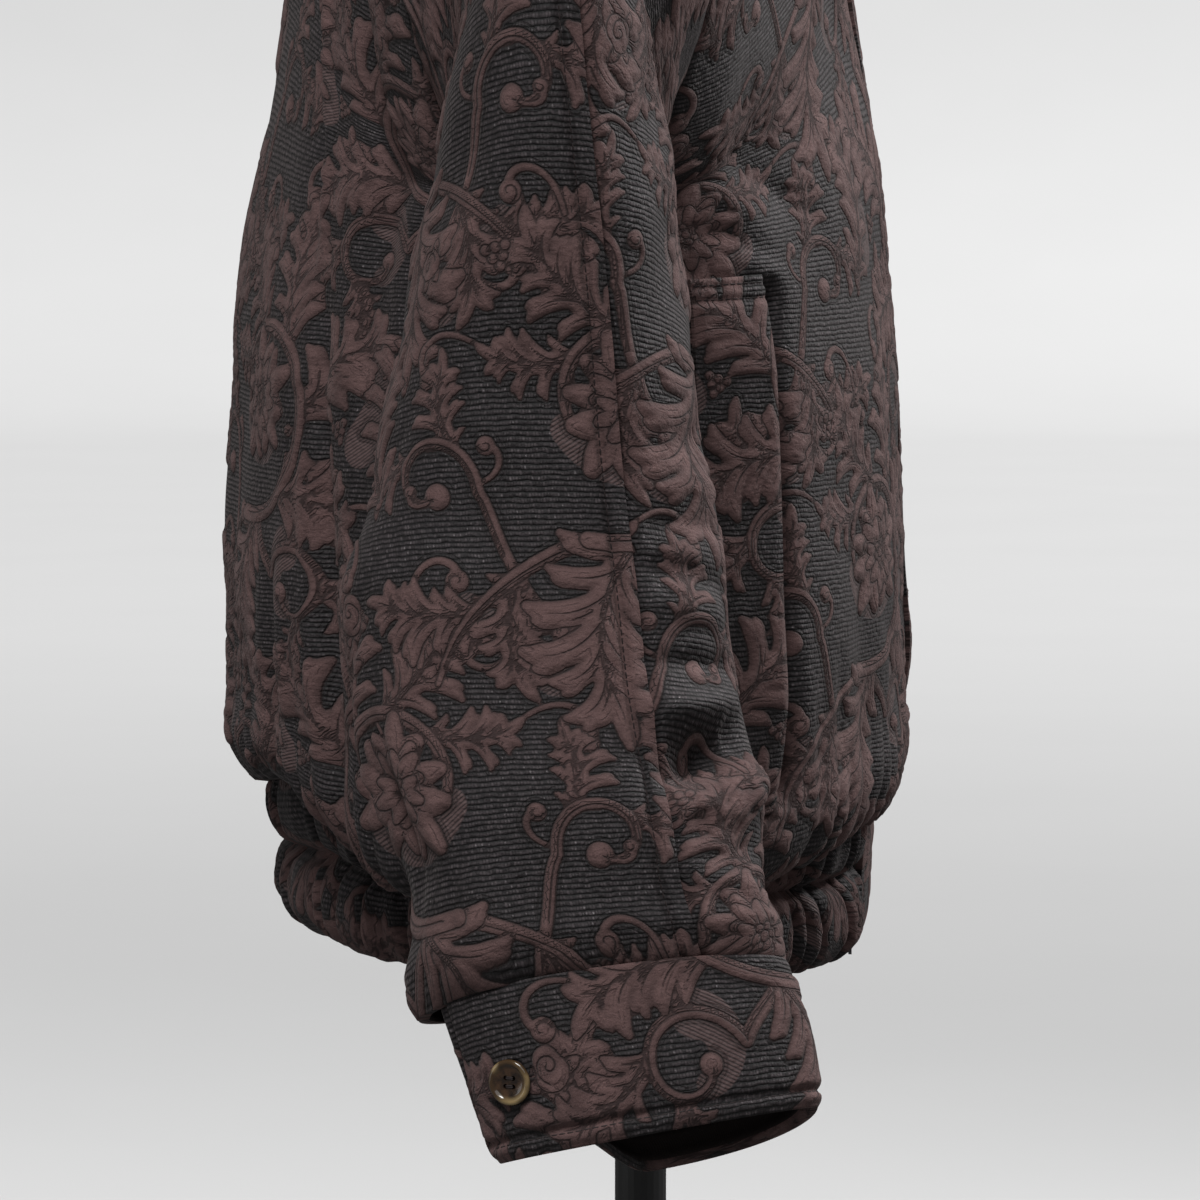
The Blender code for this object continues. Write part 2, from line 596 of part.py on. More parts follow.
span = math.radians(360 + CUFF_UNDERLAP_DEG)
path = np.linspace(0, span, 31)[:, None]
row = np.array([0.02, 0.66, 1.33, 2.0])[None, :]
phi = math.pi - path + 0 * row
row = row + 0 * path
inward = np.clip((path - math.radians(285)) / math.radians(60), 0, 1)
inward = CUFF_STEP_IN * inward * inward * (3 - 2 * inward) + 0 * row
nrm = cuff_normals(phi, row)
mid = cuff(phi, row) - nrm * inward[..., None]
for side_name, side in (("right", -1), ("left", 1)):
    wall("cuff_" + side_name, mid, nrm, grid(*phi.shape), CUFF_THICK, side=side)

# four-hole buttons, turned, then drilled
BUTTON_PROFILE = np.array([
    # radius_share, height (m)
    (0.70, 0.0000), (0.97, 0.0009), (1.00, 0.0020), (0.92, 0.0030), (0.80, 0.0031), (0.66, 0.0022),
])
at_phi, at_row = np.array([math.radians(BUTTON_AT[0])]), np.array([BUTTON_AT[1]])
spot, axis = cuff(at_phi, at_row)[0], cuff_normals(at_phi, at_row)[0]
for side_name, side in (("right", -1), ("left", 1)):
    flip = np.array([side, 1, 1])
    z = unit(axis * flip)
    x = unit(np.cross(z, np.array([0, 0, 1.0])))
    y = np.cross(z, x)
    base = spot * flip + z * (CUFF_THICK / 2 + 0.0004)
    seg = 20
    pts, faces = [], []
    for share, h in BUTTON_PROFILE:
        for k in range(seg):
            a = 2 * math.pi * k / seg
            pts.append(base + (x * math.cos(a) + y * math.sin(a)) * share * BUTTON_R + z * h)
    rows = len(BUTTON_PROFILE)
    for r in range(rows - 1):
        for k in range(seg):
            m = (k + 1) % seg
            faces.append((r * seg + k, r * seg + m, (r + 1) * seg + m, (r + 1) * seg + k))
    faces.append(tuple(range(seg - 1, -1, -1)))
    faces.append(tuple(range((rows - 1) * seg, rows * seg)))
    button = add("cuff_button_" + side_name, pts, faces, "horn", jacket, sharp=50)
    for i, (sx, sy) in enumerate(((1, 1), (-1, 1), (-1, -1), (1, -1))):
        pts, faces = [], []
        c = base + (x * sx + y * sy) * BUTTON_HOLE_OFF
        for h in (-0.002, 0.006):
            for k in range(6):
                a = 2 * math.pi * (k + 0.5) / 6
                pts.append(c + (x * math.cos(a) + y * math.sin(a)) * BUTTON_HOLE_R + z * h)
        for k in range(6):
            faces.append((k, (k + 1) % 6, 6 + (k + 1) % 6, 6 + k))
        faces.append(tuple(range(5, -1, -1)))
        faces.append(tuple(range(6, 12)))
        drill = add("drill_%s_%d" % (side_name, i), pts, faces, "horn", jacket)
        drill.hide_render = True
        drill.display_type = "WIRE"
        cut = button.modifiers.new("hole_%d" % i, "BOOLEAN")
        cut.operation = "DIFFERENCE"
        cut.object = drill

# ---------------------------------------------------------------- hem band


def hem_normals(ang, w):
    da = hem_ring(ang + 1e-4, w) - hem_ring(ang - 1e-4, w)
    db = hem_ring(ang, np.clip(w + 1e-3, 0, 1)) - hem_ring(ang, np.clip(w - 1e-3, 0, 1))
    n = unit(np.cross(da, db))
    return n


check = hem_normals(np.array([np.pi / 2]), np.array([0.5]))
HEM_TURN = 1.0 if check[0, 0] > 0 else -1.0
first, last = math.radians(TAB_DEG), 2 * math.pi - math.radians(TAB_DEG)
ang = np.linspace(first, last, 2 * GATHERS + 1)[:, None]
w = np.array([0.0, 0.25, 0.5, 0.75, 1.0])[None, :]
zig = np.where(np.arange(2 * GATHERS + 1) % 2 == 0, -1.0, 1.0)[:, None]
puff = np.array([0.55, 1.0, 0.5, 1.0, 0.4])[None, :]
ang, w = ang + 0 * w, w + 0 * ang
nrm = hem_normals(ang, w) * HEM_TURN
mid = hem_ring(ang, w) + nrm * (GATHER_OUT * zig * puff)[..., None]
wall("hem_band", mid, nrm, grid(*ang.shape), CLOTH)

ang = np.linspace(math.radians(0.06), math.radians(TAB_DEG - 0.15), 5)[:, None]
w = np.linspace(0, 1, 5)[None, :]
ang, w = ang + 0 * w, w + 0 * ang
nrm = hem_normals(ang, w) * HEM_TURN
for side_name, side in (("right", -1), ("left", 1)):
    wall("hem_tab_" + side_name, hem_ring(ang, w), nrm, grid(*ang.shape), TAB_THICK, side=side)

# ---------------------------------------------------------------- front strip
rows = (BODY_Q >= PLACKET_ROWS[0]) & (BODY_Q <= PLACKET_ROWS[1])
v = front_v[rows][None, :]
u = np.array([-PLACKET_HALF_U, -EDGE_U, EDGE_U, PLACKET_HALF_U])[:, None]
mid, nrm = front_points(np.abs(u) + 0 * v, v + 0 * u)
sense = np.where(u < 0, -1.0, 1.0) + 0 * v
mid = np.stack([mid[..., 0] * sense, mid[..., 1], mid[..., 2]], -1)
nrm = np.stack([nrm[..., 0] * sense, nrm[..., 1], nrm[..., 2]], -1)
nrm[1:3, :, 0] = 0.0
nrm = unit(nrm)
mid = mid + nrm * (CLOTH / 2 + PLACKET_THICK / 2 + 0.0005)
wall("front_placket", mid, nrm, grid(*mid.shape[:2]), PLACKET_THICK)

# ---------------------------------------------------------------- pockets
f = np.array([0.0, (0.728 - WELT_U[0]) / (WELT_U[1] - WELT_U[0]), 1.0])[:, None]
rows = (BODY_Q >= WELT_ROWS[0]) & (BODY_Q <= WELT_ROWS[1])
v = front_v[rows][None, :]
u = WELT_U[0] + (WELT_U[1] - WELT_U[0]) * f + 0 * v
end = np.clip(np.minimum(v - v.min(), v.max() - v) / 0.07, 0, 1)
lift = WELT_LIFT * (1 - f) ** 1.6 * end ** 0.7
v = v + 0 * f
mid, nrm = front_points(u, v)
mid = mid + nrm * (CLOTH / 2 + WELT_THICK / 2 + 0.0006 + lift)[..., None]
for side_name, side in (("right", -1), ("left", 1)):
    wall("pocket_welt_" + side_name, mid, nrm, grid(*u.shape), WELT_THICK, side=side)

# ---------------------------------------------------------------- collar
f = np.linspace(0, 1, 5)
half = np.concatenate([neckline(f, True), neckline(f[-2::-1], False)])
half[0, 0] = 0.0006
loop = np.concatenate([half, half[-2::-1] * mirror])
away = unit((loop - np.array([0.0, NECK_MID_Y, 0.0])) * np.array([1, 1, 0]))
away[0] = away[-1] = np.array([0.0, -1.0, 0.0])
low = loop + np.array([0, 0, COLLAR_CLEAR])
# the top edge is lowest at the centre front and level round the back
turn = np.clip((loop[:, 1] - NECK_FRONT_Y) / (NECK_MID_Y - NECK_FRONT_Y), 0, 1)
top_z = COLLAR_FRONT_Z + (COLLAR_BACK_Z - COLLAR_FRONT_Z) * turn ** 1.2
tall = top_z - low[:, 2]
share = np.array([0.0, 0.5, 1.0])
mid = low[:, None, :] + (tall[:, None] * share[None, :])[..., None] * np.array([0, 0, 1.0])
mid = mid - away[:, None, :] * (COLLAR_LEAN * tall[:, None] * share[None, :])[..., None]
nrm = np.repeat(away[:, None, :], 3, axis=1)
wall("collar", mid, nrm, grid(*mid.shape[:2]), COLLAR_THICK)

# ---------------------------------------------------------------- zip end
wide, thick, long_ = ZIP_END
strip = hem_ring(np.zeros(3), np.array([0.0, 0.25, 0.5]))
back_y = strip[:, 1].max() + TAB_THICK / 2 + thick / 2 + 0.0006
z = np.array([0.0, 0.0022, 0.0024, 1.0]) * 1.0
z[3] = long_
flare = np.array([1.0, 1.0, 0.62, 0.62])
mid = np.array([[(sx * wide / 2 * flare[k], back_y, ZIP_END_LOW + z[k]) for k in range(4)] for sx in (-1, 1)])
nrm = np.zeros_like(mid)
nrm[..., 1] = -1.0
wall("zip_end", mid, nrm, grid(2, 4), thick, colour="zip_metal")

# ---------------------------------------------------------------- dress form
turned("form_torso", [(z, a, b, y, 0.86 if z < 0.93 else 1.0) for z, a, b, y in FORM_ROWS], 32, "form_cover", stand)
turned("form_cap", [(CAP_LOW, 0.048, 0.048, NECK_Y, 1), (CAP_LOW + 0.002, 0.0505, 0.0505, NECK_Y, 1),
                    (CAP_TOP - 0.005, 0.0505, 0.0505, NECK_Y, 1), (CAP_TOP - 0.0012, 0.048, 0.048, NECK_Y, 1),
                    (CAP_TOP, 0.043, 0.043, NECK_Y, 1)], 32, "black_satin", stand)
turned("form_pole", [(BASE_THICK + SEAM_GAP, POLE_R, POLE_R, 0, 1), (FORM_LOW - SEAM_GAP, POLE_R, POLE_R, 0, 1)],
       24, "black_satin", stand)
turned("form_base", [(0.0, BASE_R - 0.001, BASE_R - 0.001, 0, 1), (0.001, BASE_R, BASE_R, 0, 1),
                     (BASE_THICK - 0.004, BASE_R, BASE_R, 0, 1), (BASE_THICK - 0.001, BASE_R - 0.003, BASE_R - 0.003, 0, 1),
                     (BASE_THICK, BASE_R - 0.008, BASE_R - 0.008, 0, 1)], 48, "black_satin", stand)
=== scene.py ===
"""Looks of the blouson jacket on its dress form.

Every cloth piece is a thin closed shell on the form of its solid, with its
creases, seams and raised woven design. Metres, +Z up, jacket front at -Y.
"""
import math

import bpy
import numpy as np
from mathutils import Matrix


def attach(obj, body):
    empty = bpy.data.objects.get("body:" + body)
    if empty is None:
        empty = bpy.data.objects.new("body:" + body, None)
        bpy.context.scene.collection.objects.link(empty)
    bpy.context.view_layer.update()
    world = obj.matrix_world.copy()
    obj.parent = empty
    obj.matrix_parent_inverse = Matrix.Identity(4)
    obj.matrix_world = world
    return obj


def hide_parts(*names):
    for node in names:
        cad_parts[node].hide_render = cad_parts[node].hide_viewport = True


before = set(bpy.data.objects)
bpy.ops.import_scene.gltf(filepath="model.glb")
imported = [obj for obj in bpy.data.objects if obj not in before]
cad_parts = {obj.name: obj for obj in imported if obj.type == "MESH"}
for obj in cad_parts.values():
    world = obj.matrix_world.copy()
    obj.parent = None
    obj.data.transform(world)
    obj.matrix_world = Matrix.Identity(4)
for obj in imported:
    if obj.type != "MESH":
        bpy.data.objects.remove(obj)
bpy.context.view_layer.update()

# ---------------------------------------------------------------- sizes (m)
CLOTH = 0.0024          # padded jacquard, face to back
SEAM_GAP = 0.0003       # between neighbouring pieces
ROUND = 0.84            # section squareness: 1 is an ellipse, less is squarer


def smooth(q, col):
    """Monotone cubic through a table column, rows at q = 0, 1, 2, ..."""
    y = np.asarray(col, float)
    n = len(y)
    d = np.diff(y)
    m = np.zeros(n)
    m[0], m[-1] = d[0], d[-1]
    for i in range(1, n - 1):
        if d[i - 1] * d[i] > 0:
            m[i] = 2.0 * d[i - 1] * d[i] / (d[i - 1] + d[i])
    q = np.clip(np.asarray(q, float), 0, n - 1)
    i = np.minimum(q.astype(int), n - 2)
    t = q - i
    t2, t3 = t * t, t * t * t
    return ((2 * t3 - 3 * t2 + 1) * y[i] + (t3 - 2 * t2 + t) * m[i]
            + (3 * t2 - 2 * t3) * y[i + 1] + (t3 - t2) * m[i + 1])


def powc(v, e):
    return np.sign(v) * np.abs(v) ** e


def unit(v):
    return v / np.maximum(np.linalg.norm(v, axis=-1, keepdims=True), 1e-12)


# ---------------------------------------------------------------- armhole
# x is measured outward from the centre plane, so one table serves both sides
ARM_C = np.array([0.2275, 0.036, 0.770])     # middle of the armhole
ARM_HALF_Y = 0.062                           # half its width, front to back
ARM_TOP = np.array([0.0085, -0.006, 0.116])  # middle to shoulder point
ARM_LOW = np.array([-0.0005, 0.0, -0.118])   # middle to underarm point


def armhole(phi):
    """phi 0 front edge, 90 shoulder point, 180 back edge, 270 underarm."""
    phi = np.asarray(phi, float)
    c, s = np.cos(phi), np.sin(phi)
    p = ARM_C + s[..., None] * 0.0
    p = p + np.clip(s, 0, None)[..., None] * ARM_TOP
    p = p + np.clip(-s, 0, None)[..., None] * ARM_LOW
    p[..., 1] -= ARM_HALF_Y * c
    return p


# ---------------------------------------------------------------- body
# one row per section, hem seam to shoulder; the first three rows are the
# blouse that turns under above the hem band
#  centre front: x, y, z | side: half width, y, z | round: 1 wraps, 0 straight
FRONT_ROWS = np.array([
    # cf_x   cf_y     cf_z    side_x  side_y  side_z  round
    (0.000, -0.1052, 0.4025, 0.2010, 0.0285, 0.3745, 1.00),
    (0.000, -0.1070, 0.3935, 0.2085, 0.0290, 0.3655, 1.00),
    (0.000, -0.1082, 0.3910, 0.2155, 0.0295, 0.3625, 1.00),
    (0.000, -0.1098, 0.3960, 0.2225, 0.0300, 0.3670, 1.00),
    (0.000, -0.1125, 0.4080, 0.2275, 0.0310, 0.3835, 1.00),
    (0.000, -0.1152, 0.4260, 0.2305, 0.0320, 0.4080, 1.00),
    (0.000, -0.1178, 0.4520, 0.2325, 0.0325, 0.4435, 1.00),
    (0.000, -0.1150, 0.4900, 0.2320, 0.0335, 0.4900, 1.00),
    (0.000, -0.1130, 0.5350, 0.2300, 0.0340, 0.5350, 1.00),
    (0.000, -0.1100, 0.5850, 0.2270, 0.0350, 0.5850, 1.00),
    (0.000, -0.1057, 0.6350, 0.2245, 0.0355, 0.6250, 0.98),
    (0.000, -0.0992, 0.6850, 0.0000, 0.0000, 0.0000, 0.92),
    (0.000, -0.0922, 0.7300, 0.0000, 0.0000, 0.0000, 0.80),
    (0.000, -0.0845, 0.7800, 0.0000, 0.0000, 0.0000, 0.66),
    (0.000, -0.0715, 0.8350, 0.0000, 0.0000, 0.0000, 0.50),
    (0.000, -0.0560, 0.8850, 0.0000, 0.0000, 0.0000, 0.34),
    (0.056, -0.0310, 0.9130, 0.0000, 0.0000, 0.0000, 0.18),
    (0.086, 0.0300, 0.9600, 0.0000, 0.0000, 0.0000, 0.00),
])
BACK_ROWS = np.array([
    # cb_x   cb_y     cb_z    side_x  side_y  side_z  round
    (0.000, 0.1640, 0.4045, 0.2010, 0.0285, 0.3745, 1.00),
    (0.000, 0.1668, 0.3955, 0.2085, 0.0290, 0.3655, 1.00),
    (0.000, 0.1692, 0.3930, 0.2155, 0.0295, 0.3625, 1.00),
    (0.000, 0.1728, 0.3975, 0.2225, 0.0300, 0.3670, 1.00),
    (0.000, 0.1765, 0.4090, 0.2275, 0.0310, 0.3835, 1.00),
    (0.000, 0.1798, 0.4260, 0.2305, 0.0320, 0.4080, 1.00),
    (0.000, 0.1828, 0.4520, 0.2325, 0.0325, 0.4435, 1.00),
    (0.000, 0.1838, 0.4900, 0.2320, 0.0335, 0.4900, 1.00),
    (0.000, 0.1825, 0.5350, 0.2300, 0.0340, 0.5350, 1.00),
    (0.000, 0.1790, 0.5850, 0.2270, 0.0350, 0.5850, 1.00),
    (0.000, 0.1732, 0.6350, 0.2245, 0.0355, 0.6250, 0.98),
    (0.000, 0.1648, 0.6850, 0.0000, 0.0000, 0.0000, 0.92),
    (0.000, 0.1570, 0.7300, 0.0000, 0.0000, 0.0000, 0.80),
    (0.000, 0.1490, 0.7800, 0.0000, 0.0000, 0.0000, 0.66),
    (0.000, 0.1375, 0.8450, 0.0000, 0.0000, 0.0000, 0.50),
    (0.000, 0.1060, 0.9400, 0.0000, 0.0000, 0.0000, 0.34),
    (0.055, 0.0880, 0.9440, 0.0000, 0.0000, 0.0000, 0.18),
    (0.086, 0.0300, 0.9600, 0.0000, 0.0000, 0.0000, 0.00),
])
UNDERARM_ROW = 11        # from this row up the side edge runs on the armhole


def _edges(rows, front):
    rows = rows.copy()
    top = len(rows) - 1
    for i in range(UNDERARM_ROW, top + 1):
        f = (i - UNDERARM_ROW) / (top - UNDERARM_ROW)
        f = f - 0.045 * np.sin(2 * np.pi * f)
        phi = np.pi * (1.5 + f) if front else np.pi * (1.5 - f)
        rows[i, 3:6] = armhole(np.array(phi))
    return rows


FRONT_TAB, BACK_TAB = _edges(FRONT_ROWS, True), _edges(BACK_ROWS, False)


# the neckline is an oval in plan, low at the centre front
NECK_Q = 15
NECK_X, NECK_MID_Y, NECK_SIDE_Z = 0.086, 0.030, 0.960
NECK_FRONT_Y, NECK_FRONT_Z = -0.056, 0.885
NECK_BACK_Y, NECK_BACK_Z = 0.106, 0.940


def neckline(f, front):
    """f 0 at the centre line to 1 at the shoulder seam."""
    f = np.clip(np.asarray(f, float), 0, 1)
    y0, z0 = (NECK_FRONT_Y, NECK_FRONT_Z) if front else (NECK_BACK_Y, NECK_BACK_Z)
    c, s = np.cos(f * np.pi / 2), np.sin(f * np.pi / 2)
    rise = (1 - c) if front else s * s
    return np.stack([NECK_X * s, NECK_MID_Y + (y0 - NECK_MID_Y) * c, z0 + (NECK_SIDE_Z - z0) * rise], -1)


def _arc_rows(tab):
    """Row numbers spaced evenly along the cloth, hem to shoulder."""
    q = np.linspace(0, len(tab) - 1, 800)
    a = np.stack([smooth(q, tab[:, k]) for k in range(6)], -1)
    m = 0.62 * a[:, 0:3] + 0.38 * a[:, 3:6]
    d = np.r_[0, np.cumsum(np.linalg.norm(np.diff(m, axis=0), axis=1))]
    return q, d


FRONT_ARC, BACK_ARC = _arc_rows(FRONT_TAB), _arc_rows(BACK_TAB)
FRONT_LEN, BACK_LEN = FRONT_ARC[1][-1], BACK_ARC[1][-1]


# the blouse is drawn up by its gathers at the back, between centre and side
BACK_DRAW_UP = np.array([0.0, 0.006, 0.012, 0.019, 0.023, 0.015, 0.005, -0.001, 0.0, 0.0, 0.0])
DRAW_ROWS = (3.0, 7.5)           # all of it up to this row, none past that one


def drawn_up(u):
    """u 0 centre back to 1 side."""
    return smooth(np.clip(u, 0, 1) * 10, BACK_DRAW_UP)


def half_panel(u, v, front):
    """Half of the body: u 0 centre to 1 side, v 0 hem seam to 1 shoulder."""
    tab, arc = (FRONT_TAB, FRONT_ARC) if front else (BACK_TAB, BACK_ARC)
    q = np.interp(np.clip(v, 0, 1) * arc[1][-1], arc[1], arc[0])
    a = [smooth(q, tab[:, k]) for k in range(7)]
    at_neck = q > NECK_Q
    line = neckline((q - NECK_Q) / (len(tab) - 1 - NECK_Q), front)
    for k in range(3):
        a[k] = np.where(at_neck, line[..., k], a[k])
    b = a[6]
    th = u * np.pi / 2
    sr, cr = np.sin(th) ** ROUND, 1 - np.cos(th) ** ROUND
    bow = np.sin(np.pi * u)
    sx = b * sr + (1 - b) * u
    sy = b * cr + (1 - b) * (u ** 1.25 if front else u ** 1.25)
    sz = b * (np.sin(th) ** 2) + (1 - b) * u
    x = a[0] + (a[3] - a[0]) * sx
    y = a[1] + (a[4] - a[1]) * sy
    z = a[2] + (a[5] - a[2]) * sz
    z = z + 0.010 * (1 - b) * bow
    if not front:
        f = np.clip((DRAW_ROWS[1] - q) / (DRAW_ROWS[1] - DRAW_ROWS[0]), 0, 1)
        z = z + drawn_up(u) * f * f * (3 - 2 * f)
    return np.stack([x, y, z], -1)


# ---------------------------------------------------------------- sleeve
# one row per ring, armhole to cuff seam; x outward
SLEEVE_ROWS = np.array([
    # mid_x  back_y  back_z  frnt_y  frnt_z  out_x   out_z   in_x    in_z  round
    (0.2296, 0.0980, 0.7700, -0.0260, 0.7700, 0.2382, 0.8860, 0.2296, 0.6520, 1.00),
    (0.2520, 0.0880, 0.7560, -0.0150, 0.7560, 0.2990, 0.8690, 0.2395, 0.6400, 0.96),
    (0.2680, 0.0720, 0.7250, 0.0030, 0.7250, 0.3420, 0.8080, 0.2450, 0.6220, 0.92),
    (0.2800, 0.0800, 0.6840, -0.0040, 0.6840, 0.3560, 0.7230, 0.2490, 0.6000, 0.90),
    (0.2920, 0.0935, 0.6125, -0.0146, 0.6125, 0.3590, 0.6360, 0.2530, 0.5640, 0.88),
    (0.3050, 0.1059, 0.5456, -0.0222, 0.5456, 0.3610, 0.5620, 0.2590, 0.5240, 0.86),
    (0.3200, 0.1196, 0.4950, -0.0299, 0.4950, 0.3690, 0.5080, 0.2710, 0.4790, 0.86),
    (0.3350, 0.1158, 0.4510, -0.0367, 0.4510, 0.3800, 0.4640, 0.2870, 0.4360, 0.86),
    (0.3500, 0.1030, 0.4137, -0.0441, 0.4188, 0.3930, 0.4290, 0.3060, 0.4020, 0.88),
    (0.3610, 0.0905, 0.3835, -0.0432, 0.3916, 0.4000, 0.4010, 0.3210, 0.3740, 0.90),
    (0.3735, 0.0850, 0.3450, -0.0525, 0.3605, 0.4030, 0.3640, 0.3440, 0.3375, 0.92),
])
CUFF_ROWS = np.array([
    # mid_x  back_y  back_z  frnt_y  frnt_z  out_x   out_z   in_x    in_z  round
    (0.3738, 0.0800, 0.3425, -0.0535, 0.3600, 0.4010, 0.3630, 0.3466, 0.3365, 0.95),
    (0.3805, 0.0690, 0.3130, -0.0610, 0.3325, 0.4080, 0.3330, 0.3530, 0.3070, 0.97),
    (0.3865, 0.0582, 0.2815, -0.0665, 0.3045, 0.4135, 0.2992, 0.3595, 0.2745, 0.99),
])


def ring(tab, q, phi):
    a = [smooth(q, tab[:, k]) for k in range(10)]
    e = a[9]
    c, s = np.cos(phi), np.sin(phi)
    cc, ss = np.abs(c) ** e, np.abs(s) ** e
    yc, zc = (a[1] + a[3]) / 2, (a[2] + a[4]) / 2
    fr = c > 0
    y = yc + np.where(fr, a[3] - yc, a[1] - yc) * cc
    z = zc + np.where(fr, a[4] - zc, a[2] - zc) * cc
    up = s > 0
    x = a[0] + np.where(up, a[5] - a[0], a[7] - a[0]) * ss
    z = z + np.where(up, a[6] - zc, a[8] - zc) * ss
    return np.stack([x + 0 * y, y, z], -1)


def _arc_sleeve():
    q = np.linspace(0, len(SLEEVE_ROWS) - 1, 600)
    p = 0.5 * (ring(SLEEVE_ROWS, q, np.full_like(q, 0.0)) + ring(SLEEVE_ROWS, q, np.full_like(q, np.pi)))
    o = ring(SLEEVE_ROWS, q, np.full_like(q, np.pi / 2))
    m = 0.6 * p + 0.4 * o
    return q, np.r_[0, np.cumsum(np.linalg.norm(np.diff(m, axis=0), axis=1))]


SLEEVE_ARC = _arc_sleeve()
SLEEVE_LEN = SLEEVE_ARC[1][-1]
# the over-arm seam runs on the outer face, forward of its middle
SEAM_DEG = np.array([90.0, 88.0, 83.0, 76.0, 69.0, 65.0, 61.0, 62.0, 63.0, 61.0, 60.0])


def sleeve_q(v):
    return np.interp(np.clip(v, 0, 1) * SLEEVE_LEN, SLEEVE_ARC[1], SLEEVE_ARC[0])


def sleeve(phi, v):
    return ring(SLEEVE_ROWS, sleeve_q(v), phi)


def seam_phi(v):
    return np.radians(smooth(sleeve_q(v), SEAM_DEG))


CUFF_TUCK = 0.0170               # the inner wall's lower edge is drawn up at the back


def cuff(phi, row):
    """phi as on the sleeve, row 0 at the seam to 2 at the lower edge."""
    p = ring(CUFF_ROWS, row, phi)
    deg = np.degrees(phi) % 360.0
    a, b = np.clip((deg - 181.0) / 16.0, 0, 1), np.clip((268.0 - deg) / 30.0, 0, 1)
    share = (a * a * (3 - 2 * a)) * (b * b * (3 - 2 * b)) * (np.asarray(row) / 2) ** 1.6
    p[..., 2] += CUFF_TUCK * share
    return p


# ---------------------------------------------------------------- hem band
HEM_ROWS = np.array([
    # half_w  y_frnt   y_back   z
    (0.1850, -0.0980, 0.1495, 0.3200),
    (0.1905, -0.1015, 0.1570, 0.3360),
    (0.1890, -0.1025, 0.1590, 0.3560),
    (0.1925, -0.1035, 0.1615, 0.3760),
    (0.1900, -0.1020, 0.1600, 0.3960),
])
HEM_SIDE_Y = 0.0285
HEM_BACK_LIFT = 0.0115           # the lower edge rises to the back
HEM_SIDE_DROP = 0.0060           # and hangs lower at the sides


def hem_ring(ang, w):
    """ang 0 at centre front, pi at centre back; w 0 bottom to 1 top."""
    q = np.asarray(w, float) * (len(HEM_ROWS) - 1)
    a, yf, yb, z = [smooth(q, HEM_ROWS[:, k]) for k in range(4)]
    c, s = np.cos(ang), np.sin(ang)
    e = 0.92
    x = a * powc(s, e)
    y = HEM_SIDE_Y + np.where(c > 0, yf - HEM_SIDE_Y, yb - HEM_SIDE_Y) * np.abs(c) ** e
    z = z + (1 - np.asarray(w)) * (HEM_BACK_LIFT * (1 - c) / 2 - HEM_SIDE_DROP * s * s)
    z = z + 0.85 * drawn_up(np.abs(np.pi - ang) / (np.pi / 2)) * np.asarray(w, float) ** 1.5
    return np.stack([x, y, z + 0 * x], -1)


# ---------------------------------------------------------------- folds
# soft troughs (minus) and ridges (plus): a line on the panel from (u0, v0) to
# (u1, v1), its half width and its depth; on a sleeve u is the angle in degrees
BACK_FOLDS = np.array([
    # u0    v0    u1    v1    width   depth
    (0.60, 0.04, 0.53, 0.36, 0.016, -0.0060),
    (0.53, 0.36, 0.36, 0.60, 0.018, -0.0045),
    (0.47, 0.03, 0.44, 0.34, 0.014, 0.0030),
    (0.14, 0.04, 0.16, 0.30, 0.020, -0.0030),
    (0.80, 0.05, 0.78, 0.28, 0.016, 0.0030),
])
FRONT_FOLDS = np.array([
    # u0    v0    u1    v1    width   depth
    (0.34, 0.05, 0.40, 0.22, 0.015, -0.0030),
    (0.50, 0.45, 0.76, 0.60, 0.018, -0.0040),
    (0.56, 0.40, 0.70, 0.45, 0.012, 0.0025),
    (0.90, 0.05, 0.90, 0.30, 0.016, 0.0030),
])
SLEEVE_FOLDS = np.array([
    # deg0  v0     deg1   v1    width   depth
    (28.0, 0.800, 58.0, 0.845, 0.014, -0.0075),
    (12.0, 0.860, 52.0, 0.790, 0.012, 0.0030),
    (20.0, 0.900, 50.0, 0.880, 0.010, -0.0035),
    (150.0, 0.900, 172.0, 0.780, 0.014, -0.0040),
    (128.0, 0.955, 150.0, 0.840, 0.011, 0.0025),
    (100.0, 0.300, 150.0, 0.420, 0.016, -0.0030),
    (40.0, 0.330, 62.0, 0.560, 0.014, 0.0020),
    (285.0, 0.700, 330.0, 0.820, 0.014, -0.0040),
    (215.0, 0.780, 250.0, 0.860, 0.014, -0.0040),
])
PANEL_WIDE, PANEL_TALL = 0.31, 0.63     # to measure folds in metres
SLEEVE_REACH = 0.064                    # metres of cloth to a radian


def folds(u, v, table, wide, tall):
    out = np.zeros(np.broadcast(u, v).shape)
    for u0, v0, u1, v1, width, depth in table:
        ax, ay = u0 * wide, v0 * tall
        dx, dy = (u1 - u0) * wide, (v1 - v0) * tall
        n = np.hypot(dx, dy)
        px, py = u * wide - ax, v * tall - ay
        s = np.clip((px * dx + py * dy) / (n * n), 0, 1)
        d = np.hypot(px - s * dx, py - s * dy)
        taper = np.sin(np.pi * np.clip(0.12 + 0.76 * s, 0, 1)) ** 0.7
        out = out + depth * taper * np.exp(-(d / width) ** 2)
    return out


def normals(f, a, b, ha=1e-4, hb=1e-4):
    """Unit normal of a surface f(a, b) by small steps, kept inside 0..1 in b."""
    da = f(a + ha, b) - f(a - ha, b)
    b0, b1 = np.clip(b - hb, 0, 1), np.clip(b + hb, 0, 1)
    return unit(np.cross(da, f(a, b1) - f(a, b0)))


# ---------------------------------------------------------------- cloth design
# A traditional scroll-and-acanthus damask of our own drawing, one half-drop repeat,
# worked out on a grid as distances to its outlines and stitched veins. All in mm.
TILE_W, TILE_H, TILE_CELL = 256.0, 340.0, 0.6
NX, NY = int(round(TILE_W / TILE_CELL)), int(round(TILE_H / TILE_CELL))
FAR = 14.0


